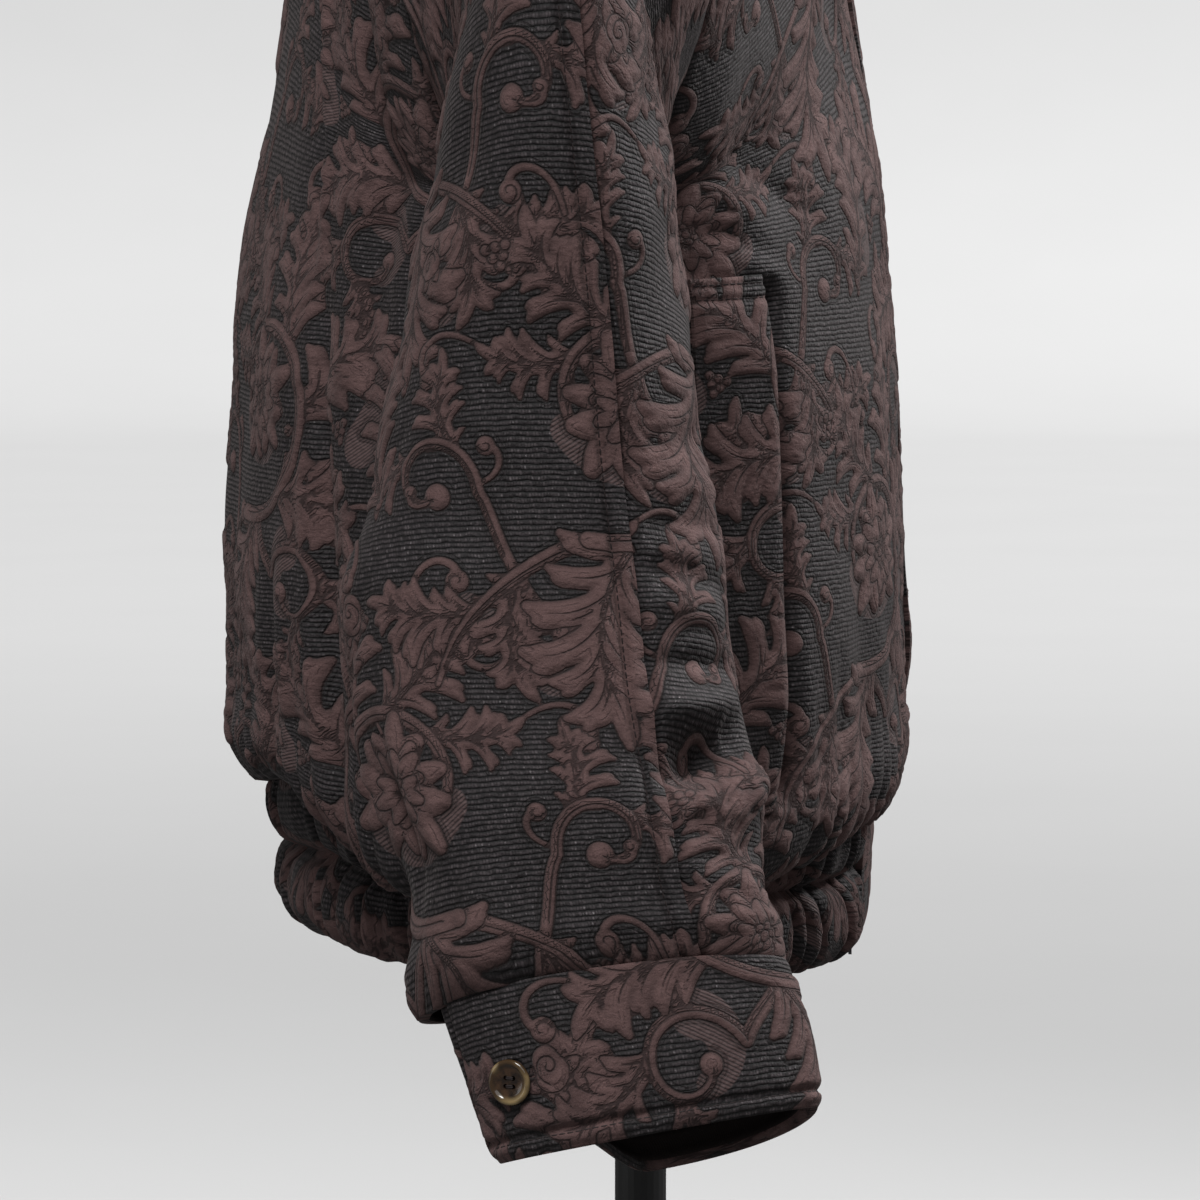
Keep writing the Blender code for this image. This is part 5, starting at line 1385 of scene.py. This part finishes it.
def cuff_piece(name, side, nu, nv, at):
    path = np.linspace(0, math.radians(360 + CUFF_UNDERLAP_DEG), nu)[:, None]
    share = np.linspace(0, 1, nv)[None, :]
    along = path * 0.0475                              # metres, near enough
    bite = np.clip(1 - along / CUFF_CORNER, 0, 1)
    short = CUFF_CORNER * (1 - np.sqrt(np.clip(1 - bite ** 2, 0, 1)))
    row = 0.02 + (1.98 - 2 * short / 0.063) * share
    phi = math.pi - path + 0 * row
    inward = np.clip((path - math.radians(285)) / math.radians(60), 0, 1)
    inward = CUFF_STEP_IN * inward * inward * (3 - 2 * inward) + 0 * row
    n = cuff_normals(phi, row)
    mid = cuff(phi, row) - n * inward[..., None]
    s = along_u(mid)
    t = -0.0315 * row
    low = 0.0315 * (2 - row) - short                     # up from the lower edge
    end = np.minimum(s, 1.0)
    lift = 0.0005 * wave(s / 0.02, t / 0.03, 5.0 * side)
    lift = lift - 0.0021 * np.exp(-((low - CUFF_STITCH) / 0.0015) ** 2)
    lift = lift - 0.0015 * np.exp(-((end - CUFF_STITCH) / 0.0013) ** 2) * (low > CUFF_STITCH)
    lift = lift - 0.0020 * np.exp(-(low / 0.0024) ** 2) - 0.0012 * np.exp(-(end / 0.0018) ** 2)
    lift = lift - 0.0008 * np.exp(-(0.0315 * row / 0.0018) ** 2)
    soft = 0.35 + 0.65 * edge_fade(np.minimum(low, end) - CUFF_STITCH, 0.004)
    soft = soft * edge_fade(np.minimum(low, end), 0.003)
    soft = soft * edge_fade(CUFF_STEP_IN * 0.4 - inward, 0.0015)
    spot = cuff(np.array([math.radians(BUTTON_AT[0])]), np.array([BUTTON_AT[1]]))[0]
    far = np.linalg.norm(mid - spot, axis=2)
    soft = soft * (0.15 + 0.85 * edge_fade(far - 0.008, 0.004))
    roll = 0.0022 * np.exp(-((low - 0.0040) / 0.0032) ** 2) - 0.0012 * np.exp(-(low / 0.0014) ** 2)
    lift = lift * (0.2 + 0.8 * edge_fade(far - 0.008, 0.004))
    return shell(name, mid, n, lift, CUFF_THICK, s, t, at, soft, 6, side, roll=roll, close_rows=max(6, nv // 5), turned=max(2, nv // 18))


for side_name, side, nu, nv, at in (("right", -1, 330, 72, (30.0, 210.0)), ("left", 1, 170, 32, (150.0, 60.0))):
    ob = cuff_piece("blouson_cuff_" + side_name, side, nu, nv, at)
    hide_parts("cuff_" + side_name)

# ---------------------------------------------------------------- hem band, gathered on elastic
HEM_GATHERS, HEM_FULL = 46, 1.5


def hem_normals(ang, w):
    da = hem_ring(ang + 1e-4, w) - hem_ring(ang - 1e-4, w)
    db = hem_ring(ang, np.clip(w + 1e-3, 0, 1)) - hem_ring(ang, np.clip(w - 1e-3, 0, 1))
    n = unit(np.cross(da, db))
    return n * np.sign(n[..., 1:2] * (hem_ring(ang, w)[..., 1:2] - HEM_SIDE_Y) + n[..., 0:1] * hem_ring(ang, w)[..., 0:1])


ang = np.linspace(math.radians(TAB_DEG), 2 * math.pi - math.radians(TAB_DEG), HEM_GATHERS * 17 + 1)[:, None]
w = np.linspace(0, 1, 37)[None, :]
ang, w = ang + 0 * w, w + 0 * ang
n = hem_normals(ang, w)
mid = hem_ring(ang, w)
share = (ang - ang[:1]) / (ang[-1:] - ang[:1])
ch = np.clip(w * 2, 0, 1.9999)
upper = ch >= 1
puffed = np.sin(math.pi * (ch % 1.0)) ** 0.75
turn_ = share * HEM_GATHERS + 0.35 * np.sin(share * 61) + 0.30 * np.sin(share * 143 + 1.0) + 0.12 * np.sin(share * 290)
turn_ = turn_ + np.where(upper, 0.16 * np.sin(share * 83 + 2.0), 0.0) * puffed + 0.22 * (w - 0.5) * np.sin(share * 37)
size = 0.75 + 0.35 * np.sin(share * 119 + 0.7) * np.sin(share * 53 + np.where(upper, 0.0, 1.1))
ridge = np.abs(np.sin(math.pi * turn_)) ** 0.60 * 2 - 1.25
ends = edge_fade(np.minimum(share, 1 - share), 0.012)
lift = (0.0078 * ridge * size * (0.30 + 0.70 * puffed) + 0.0040 * puffed - 0.0012) * ends
lift = lift - 0.0046 * np.exp(-((w - 0.5) * 0.076 / 0.0030) ** 2)
s = along_u(mid) * HEM_FULL
t = w * 0.078
soft = (0.20 + 0.30 * puffed) * (0.5 + 0.5 * np.clip(ridge + 0.6, 0, 1))
ob = shell("blouson_hem_band", mid, n, lift, CLOTH, s, t, (0.0, 150.0), soft, 9)
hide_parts("hem_band")

ang = np.linspace(math.radians(0.06), math.radians(TAB_DEG - 0.15), 44)[:, None]
w = np.linspace(0, 1, 52)[None, :]
ang, w = ang + 0 * w, w + 0 * ang
n = hem_normals(np.maximum(ang, 2e-3), w)
mid = hem_ring(ang, w)
s, t = along_u(mid), w * 0.078
edge = np.minimum(np.minimum(s, s[-1:, :] - s), np.minimum(t, 0.078 - t))
lift = -0.0008 * np.exp(-((edge - 0.006) / 0.0014) ** 2) - 0.0007 * np.exp(-(edge / 0.0016) ** 2)
for side_name, side, at in (("right", -1, (70.0, 40.0)), ("left", 1, (190.0, 40.0))):
    ob = shell("blouson_hem_tab_" + side_name, mid, n, lift, TAB_THICK, s, t, at, 0.5 * edge_fade(edge, 0.008), 4, side)
    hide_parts("hem_tab_" + side_name)

# ---------------------------------------------------------------- front strip
u = np.linspace(-PLACKET_HALF_U, PLACKET_HALF_U, 22)
v = steps((row_v(PLACKET_ROWS[0], True), row_v(PLACKET_ROWS[1], True), 300))
u, v = np.meshgrid(u, v, indexing="ij")
mid, n = body_points(np.abs(u), v, True)
sense = np.where(u < 0, -1.0, 1.0)
mid[..., 0] *= sense
n[..., 0] *= sense * np.clip(np.abs(u) / 0.006, 0, 1)
n = unit(n)
mid = mid + n * (CLOTH / 2 + PLACKET_THICK / 2 + 0.0005)
s, t = along_u(mid), along_v(mid)
edge = np.minimum(s, s[-1:, :] - s)
lift = -0.0006 * np.exp(-((edge - 0.005) / 0.0013) ** 2) - 0.0005 * np.exp(-(edge / 0.0014) ** 2)
ob = shell("blouson_front_placket", mid, n, lift, PLACKET_THICK, s, t, (20.0, 90.0), 0.6 * edge_fade(edge - 0.005, 0.004), 6)
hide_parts("front_placket")

# ---------------------------------------------------------------- pocket welts
def welt(name, side, nu, nv, at, seed):
    f = np.linspace(0, 1, nu)
    v = np.linspace(row_v(WELT_ROWS[0], True), row_v(WELT_ROWS[1], True), nv)
    f, v = np.meshgrid(f, v, indexing="ij")
    u = WELT_U[0] + (WELT_U[1] - WELT_U[0]) * f
    end = np.clip(np.minimum(v - v.min(), v.max() - v) / 0.07, 0, 1)
    rise = WELT_LIFT * (1 - f) ** 1.6 * end ** 0.7
    mid, n = body_points(u, v, True)
    mid = mid + n * (CLOTH / 2 + WELT_THICK / 2 + 0.0006 + rise)[..., None]
    s, t = along_u(mid), along_v(mid)
    top = t[:, -1:] - t
    lift = 0.0007 * wave(s / 0.03, t / 0.04, seed) * edge_fade(top, 0.02)
    for d in WELT_STITCH:
        lift = lift - 0.0011 * np.exp(-((np.minimum(top, t) - d) / 0.0013) ** 2)
    lift = lift - 0.0008 * np.exp(-(s / 0.0015) ** 2) - 0.0007 * np.exp(-(top / 0.0014) ** 2)
    soft = edge_fade(np.minimum(s, s[-1:, :] - s), 0.004) * edge_fade(np.minimum(top, t), 0.004)
    soft = soft * np.where(np.minimum(top, t) < WELT_STITCH[1] + 0.002, 0.45, 1.0)
    return shell(name, mid, n, lift, WELT_THICK, s, t, at, soft, 6, side)


WELT_STITCH = (0.0035, 0.0095)
for side_name, side, nu, nv, at in (("right", -1, 32, 190, (110.0, 200.0)), ("left", 1, 18, 96, (60.0, 20.0))):
    ob = welt("blouson_welt_" + side_name, side, nu, nv, at, 6.0 * side)
    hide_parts("pocket_welt_" + side_name)

# ---------------------------------------------------------------- collar
f = np.linspace(0, 1, 44)
half = np.concatenate([neckline(f, True), neckline(f[-2::-1], False)])
half[0, 0] = 0.0006
loop = np.concatenate([half, half[-2::-1] * MIRROR])
away = unit((loop - np.array([0.0, NECK_MID_Y, 0.0])) * np.array([1, 1, 0]))
away[0] = away[-1] = np.array([0.0, -1.0, 0.0])
low = loop + np.array([0, 0, COLLAR_CLEAR])
turn_ = np.clip((loop[:, 1] - NECK_FRONT_Y) / (NECK_MID_Y - NECK_FRONT_Y), 0, 1)
top_z = COLLAR_FRONT_Z + (COLLAR_BACK_Z - COLLAR_FRONT_Z) * turn_ ** 1.2
tall = (top_z - low[:, 2])[:, None]
share = np.linspace(0, 1, 20)[None, :]
mid = low[:, None, :] + (tall * share)[..., None] * np.array([0, 0, 1.0]) - away[:, None, :] * (COLLAR_LEAN * tall * share)[..., None]
n = np.repeat(away[:, None, :], 20, axis=1)
s, t = along_u(mid), tall * share
edge = np.minimum(np.minimum(s, s[-1:, :] - s), np.minimum(t, tall - t))
lift = -0.0007 * np.exp(-((edge - 0.006) / 0.0015) ** 2) - 0.0006 * np.exp(-(edge / 0.0016) ** 2)
ob = shell("blouson_collar", mid, n, lift, COLLAR_THICK, s, t, (0.0, 60.0), 0.6 * edge_fade(edge, 0.006), 4)
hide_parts("collar")

# ---------------------------------------------------------------- buttons
BUTTON_PROFILE = np.array([
    # share of radius, height (m)
    (0.00, 0.00010), (0.68, 0.00000), (0.86, 0.00040), (0.96, 0.00100), (1.00, 0.00180), (0.985, 0.00240),
    (0.94, 0.00288), (0.87, 0.00310), (0.80, 0.00302), (0.74, 0.00262), (0.68, 0.00215), (0.58, 0.00192), (0.00, 0.00180),
])


BUTTONHOLE = (0.0075, 0.0205)        # from the button's middle


def button(name, side):
    spot = cuff(np.array([math.radians(BUTTON_AT[0])]), np.array([BUTTON_AT[1]]))[0]
    axis = cuff_normals(np.array([math.radians(BUTTON_AT[0])]), np.array([BUTTON_AT[1]]))[0]
    flip = np.array([side, 1, 1])
    z = unit(axis * flip)
    x = unit(np.cross(z, np.array([0, 0, 1.0])))
    y = np.cross(z, x)
    base = spot * flip + z * (CUFF_THICK / 2 + 0.0004)
    seg = 64
    pts, faces, share = [], [], []
    rings = BUTTON_PROFILE[1:-1]
    for r, h in rings:
        for k in range(seg):
            a = 2 * math.pi * k / seg
            pts.append(base + (x * math.cos(a) + y * math.sin(a)) * r * BUTTON_R + z * h)
            share.append(r if h > 0.001 else 0.9)
    for i in range(len(rings) - 1):
        for k in range(seg):
            m = (k + 1) % seg
            faces.append((i * seg + k, i * seg + m, (i + 1) * seg + m, (i + 1) * seg + k))
    faces.append(tuple(range(seg - 1, -1, -1)))
    faces.append(tuple(range((len(rings) - 1) * seg, len(rings) * seg)))
    ob = loose(name, pts, faces, "horn")
    drills = []
    for sx, sy in ((1, 1), (-1, 1), (-1, -1), (1, -1)):
        c = base + (x * sx + y * sy) * BUTTON_HOLE_OFF
        p = [c + (x * math.cos(a) + y * math.sin(a)) * BUTTON_HOLE_R + z * h
             for h in (-0.002, 0.006) for a in np.linspace(0, 2 * math.pi, 16, endpoint=False)]
        fc = [(k, (k + 1) % 16, 16 + (k + 1) % 16, 16 + k) for k in range(16)]
        fc += [tuple(range(15, -1, -1)), tuple(range(16, 32))]
        me = bpy.data.meshes.new("drill")
        me.from_pydata([tuple(map(float, q)) for q in p], [], fc)
        d = bpy.data.objects.new("drill", me)
        bpy.context.scene.collection.objects.link(d)
        cut = ob.modifiers.new("hole", "BOOLEAN")
        cut.operation, cut.object = "DIFFERENCE", d
        drills.append(d)
    bpy.context.view_layer.update()
    made = bpy.data.meshes.new_from_object(ob.evaluated_get(bpy.context.evaluated_depsgraph_get()))
    ob.modifiers.clear()
    ob.data = made
    for d in drills:
        bpy.data.objects.remove(d, do_unlink=True)
    co = np.empty(len(made.vertices) * 3)
    made.vertices.foreach_get("co", co)
    co = co.reshape(-1, 3) + np.array(ob.matrix_world.translation) - base
    r = np.linalg.norm(co - np.outer(co @ z, z), axis=1) / BUTTON_R
    a = made.attributes.new("share", "FLOAT", "POINT")
    a.data.foreach_set("value", r.astype(np.float32))
    made.shade_smooth()
    made.set_sharp_from_angle(angle=math.radians(40))
    # thread through the four holes, and the shank of thread under the button
    o, h = BUTTON_HOLE_OFF, 0.00185
    ends = [((-o, o), (o, o)), ((-o, -o), (o, -o))]
    aa = np.array([base + x * p[0] + y * (p[1] + e) + z * h for p, _ in ends for e in (-0.0003, 0.0003)])
    bb = np.array([base + x * q[0] + y * (q[1] + e) + z * h for _, q in ends for e in (-0.0003, 0.0003)])
    capsules(name + "_thread", aa, bb, 0.00034, np.repeat(z[None], len(aa), 0), sides=8)
    # the end of the worked buttonhole, which runs out from under the button
    d = np.radians(BUTTON_AT[0] - np.linspace(4, 40, 90))
    line = cuff(d, np.full_like(d, BUTTON_AT[1]))
    up = cuff_normals(d, np.full_like(d, BUTTON_AT[1]))
    far = np.linalg.norm(line - spot, axis=1)
    at = np.arange(BUTTONHOLE[0], BUTTONHOLE[1], 0.00055)
    pick = lambda q: np.stack([np.interp(at, far, q[:, k]) for k in range(3)], -1)
    up = unit(pick(up))
    line = pick(line) + up * (CUFF_THICK / 2 + 0.0001)
    over = unit(np.cross(up, np.gradient(line, axis=0)))
    aa = np.concatenate([line + over * 0.00022, line - over * 0.00022, line[-3:] - over[-3:] * 0.0016])
    bb = np.concatenate([line + over * 0.00150, line - over * 0.00150, line[-3:] + over[-3:] * 0.0016])
    nn = np.concatenate([up, up, up[-3:]])
    capsules(name + "_hole", aa * flip, bb * flip, 0.00030, nn * flip, sides=5)
    return ob, base, x, y, z


for side_name, side in (("right", -1), ("left", 1)):
    ob, base, x, y, z = button("blouson_button_" + side_name, side)
    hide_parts("cuff_button_" + side_name)


# ---------------------------------------------------------------- stitching
def cuff_line(name, low, first, last):
    """A line along the cuff at a height above its lower edge."""
    g = GRIDS[name]
    out, n, s = g["out"], g["n"], g["s"]
    d = np.concatenate([np.zeros((out.shape[0], 1)), np.cumsum(np.linalg.norm(np.diff(out[:, ::-1], axis=1), axis=2), 1)], 1)
    path, nrm = [], []
    for i in range(out.shape[0]):
        if first <= s[i, 0] <= last:
            path.append([np.interp(low, d[i], out[i, ::-1, k]) for k in range(3)])
            nrm.append([np.interp(low, d[i], n[i, ::-1, k]) for k in range(3)])
    return np.array(path), np.array(nrm)


def sew(name, runs, r=0.00030):
    a, b, n = (np.concatenate([q[k] for q in runs]) for k in range(3))
    return capsules(name, a, b, r, n)


for side_name in ("right", "left"):
    runs = [stitch_run(*row_of("blouson_sleeve_%s_back" % side_name, SEAM_GROOVE))]
    runs.append(stitch_run(*cuff_line("blouson_cuff_" + side_name, CUFF_STITCH, 0.008, 0.30)))
    p, n = row_of("blouson_cuff_" + side_name, CUFF_STITCH)
    runs.append(stitch_run(p[2:-8], n[2:-8]))
    sew("blouson_sleeve_stitching_" + side_name, runs)
    g = GRIDS["blouson_welt_" + side_name]
    runs = []
    for d in WELT_STITCH:
        for t in (g["t"][0, -1] - g["t"][0], g["t"][0]):
            j = int(np.argmin(np.abs(t - d)))
            runs.append(stitch_run(g["out"][:, j], g["n"][:, j]))
    g = GRIDS["blouson_hem_tab_" + side_name]
    i, j = int(np.argmin(np.abs(g["s"][:, 5] - 0.006))), int(np.argmin(np.abs(g["t"][0] - 0.006)))
    runs.append(stitch_run(g["out"][i, j:-j], g["n"][i, j:-j]))
    runs.append(stitch_run(g["out"][i:, j], g["n"][i:, j]))
    sew("blouson_front_stitching_" + side_name, runs)
runs = []
g = GRIDS["blouson_front_placket"]
for d in (0.005, float(g["s"][-1].mean()) - 0.005):
    runs.append(stitch_run(*row_of("blouson_front_placket", d)))
g = GRIDS["blouson_collar"]
for j in (2, g["out"].shape[1] - 3):
    runs.append(stitch_run(g["out"][:, j], g["n"][:, j]))
sew("blouson_strip_stitching", runs)

# ---------------------------------------------------------------- cut of the cloth
CUT = {
    # piece: how it is held, what it rests on or hangs from
    "blouson_back": ("draped", ["form_torso"]),
    "blouson_front_right": ("draped", ["form_torso"]),
    "blouson_front_left": ("draped", ["form_torso"]),
    "blouson_sleeve_right_back": ("hung", ["blouson_back"]),
    "blouson_sleeve_right_front": ("hung", ["blouson_front_right"]),
    "blouson_sleeve_left_back": ("hung", ["blouson_back"]),
    "blouson_sleeve_left_front": ("hung", ["blouson_front_left"]),
    "blouson_cuff_right": ("hung", ["blouson_sleeve_right_back"]),
    "blouson_cuff_left": ("hung", ["blouson_sleeve_left_back"]),
    "blouson_hem_band": ("gathered", ["blouson_back"]),
    "blouson_hem_tab_right": ("hung", ["blouson_front_right"]),
    "blouson_hem_tab_left": ("hung", ["blouson_front_left"]),
    "blouson_front_placket": ("laid", ["blouson_front_right", "blouson_front_left"]),
    "blouson_welt_right": ("laid", ["blouson_front_right"]),
    "blouson_welt_left": ("laid", ["blouson_front_left"]),
    "blouson_collar": ("hung", ["blouson_back"]),
}
flat_sizes = {}
for name, (held, on) in CUT.items():
    area = wide = tall = 0.0
    for part in (name, name + "_a", name + "_b"):
        if part in GRIDS:
            s, t = GRIDS[part]["s"], GRIDS[part]["t"] + 0 * GRIDS[part]["s"]
            ds, dt = np.diff(s, axis=0), np.diff(t, axis=1)
            area += float(np.abs(0.25 * (ds[:, 1:] + ds[:, :-1]) * (dt[1:] + dt[:-1])).sum())
            wide = max(wide, float(s.max() - s.min()))
            tall += float(t.max() - t.min()) if part != name + "_b" else 0.0
    flat_sizes[name] = (round(wide, 3), round(tall, 3), round(min(area, wide * tall), 4))
print("flat sizes", flat_sizes)

# ---------------------------------------------------------------- stage, light, camera
FLOOR_R, COVE_R, WALL_TOP = 9.0, 3.0, 3.05
profile = [(0.001, 0.0), (2.0, 0.0), (5.0, 0.0), (FLOOR_R, 0.0)]
profile += [(FLOOR_R + COVE_R * math.sin(a), COVE_R * (1 - math.cos(a))) for a in np.linspace(0.1, math.pi / 2, 14)]
profile += [(FLOOR_R + COVE_R, WALL_TOP)]
seg = 96
pts = [(r * math.cos(2 * math.pi * k / seg), r * math.sin(2 * math.pi * k / seg), z) for r, z in profile for k in range(seg)]
faces = [(i * seg + k, i * seg + (k + 1) % seg, (i + 1) * seg + (k + 1) % seg, (i + 1) * seg + k)
         for i in range(len(profile) - 1) for k in range(seg)]
mesh = bpy.data.meshes.new("studio_floor")
mesh.from_pydata(pts, [], faces)
mesh.shade_smooth()
k = Net("paper")
c = k.tree.nodes.new("ShaderNodeTexCoord")
f = k.noise(c.outputs["Object"], 3.0, 3.0)
sep = k.tree.nodes.new("ShaderNodeSeparateXYZ")
k.tree.links.new(c.outputs["Object"], sep.inputs[0])
far = k.m("SQRT", k.m("ADD", k.m("MULTIPLY", sep.outputs[0], sep.outputs[0]), k.m("MULTIPLY", sep.outputs[1], sep.outputs[1])))
# painted shade: the paper is darker round the middle of the floor, darker up the wall and darker toward +Y, away from
# the right lamp
k.set(Base_Color=k.dim(k.mix(f, (0.83, 0.83, 0.83), (0.86, 0.86, 0.86)), k.m("MULTIPLY", k.ease(sep.outputs[2], 0.0, 1.0, 1.0, 0.90), k.m("MULTIPLY", k.ease(far, 0.8, 5.5, 0.72, 1.0), k.ease(sep.outputs[1], -2.0, 2.0, 1.03, 0.95)))))
k.bsdf.inputs["Roughness"].default_value = 0.95
k.bsdf.inputs["Specular IOR Level"].default_value = 0.1
mesh.materials.append(MATS["paper"])
floor = bpy.data.objects.new("studio_floor", mesh)
bpy.context.scene.collection.objects.link(floor)
floor.visible_diffuse = False
floor.visible_glossy = False

world = bpy.data.worlds.new("studio")
world.use_nodes = True
world.node_tree.nodes["Background"].inputs[0].default_value = (1.0, 1.0, 1.0, 1.0)
world.node_tree.nodes["Background"].inputs[1].default_value = 0.20
bpy.context.scene.world = world
bpy.context.scene.view_settings.view_transform = "Standard"


def lamp(name, kind, power, at, to, size=1.0, angle=0.5, spread=180.0, colour=(1, 1, 1)):
    data = bpy.data.lights.new(name, kind)
    data.energy = power
    data.color = colour
    if kind == "SUN":
        data.angle = angle
    else:
        data.shape, data.size, data.spread = "DISK", size, math.radians(spread)
    ob = bpy.data.objects.new(name, data)
    ob.location = at
    v = np.array(to, float) - np.array(at, float)
    ob.rotation_euler = (math.acos(-v[2] / np.linalg.norm(v)), 0.0, math.atan2(v[1], v[0]) - math.pi / 2)
    bpy.context.scene.collection.objects.link(ob)
    return ob


AIM = (0.0, 0.02, 0.55)
lamp("key", "SUN", 2.55, (-1.95, 0.55, 3.95), AIM, angle=math.radians(20))
lamp("right", "AREA", 16.5, (0.62, -1.90, 2.35), (0.0, -0.1, 1.02), size=0.9, spread=78.0)
lamp("low", "AREA", 0.5,(-0.9, 1.9, 0.40), (0.0, 0.12, 0.38), size=0.8, spread=70.0)
lamp("soft", "AREA", 23.0, (-2.4, 0.2, 2.4), (0.0, 0.0, 0.7), size=2.2)

camera = bpy.data.objects.new("camera", bpy.data.cameras.new("camera"))
camera.data.sensor_width = 36.0
camera.data.lens = 18.0 / 0.1017
camera.data.clip_end = 100.0
camera.location = (-2.66, 0.0185, 0.469 + 2.66 * math.tan(math.radians(5.0)))
camera.rotation_euler = (math.radians(85.0), 0.0, math.radians(-90.0))
bpy.context.scene.collection.objects.link(camera)
bpy.context.scene.camera = camera
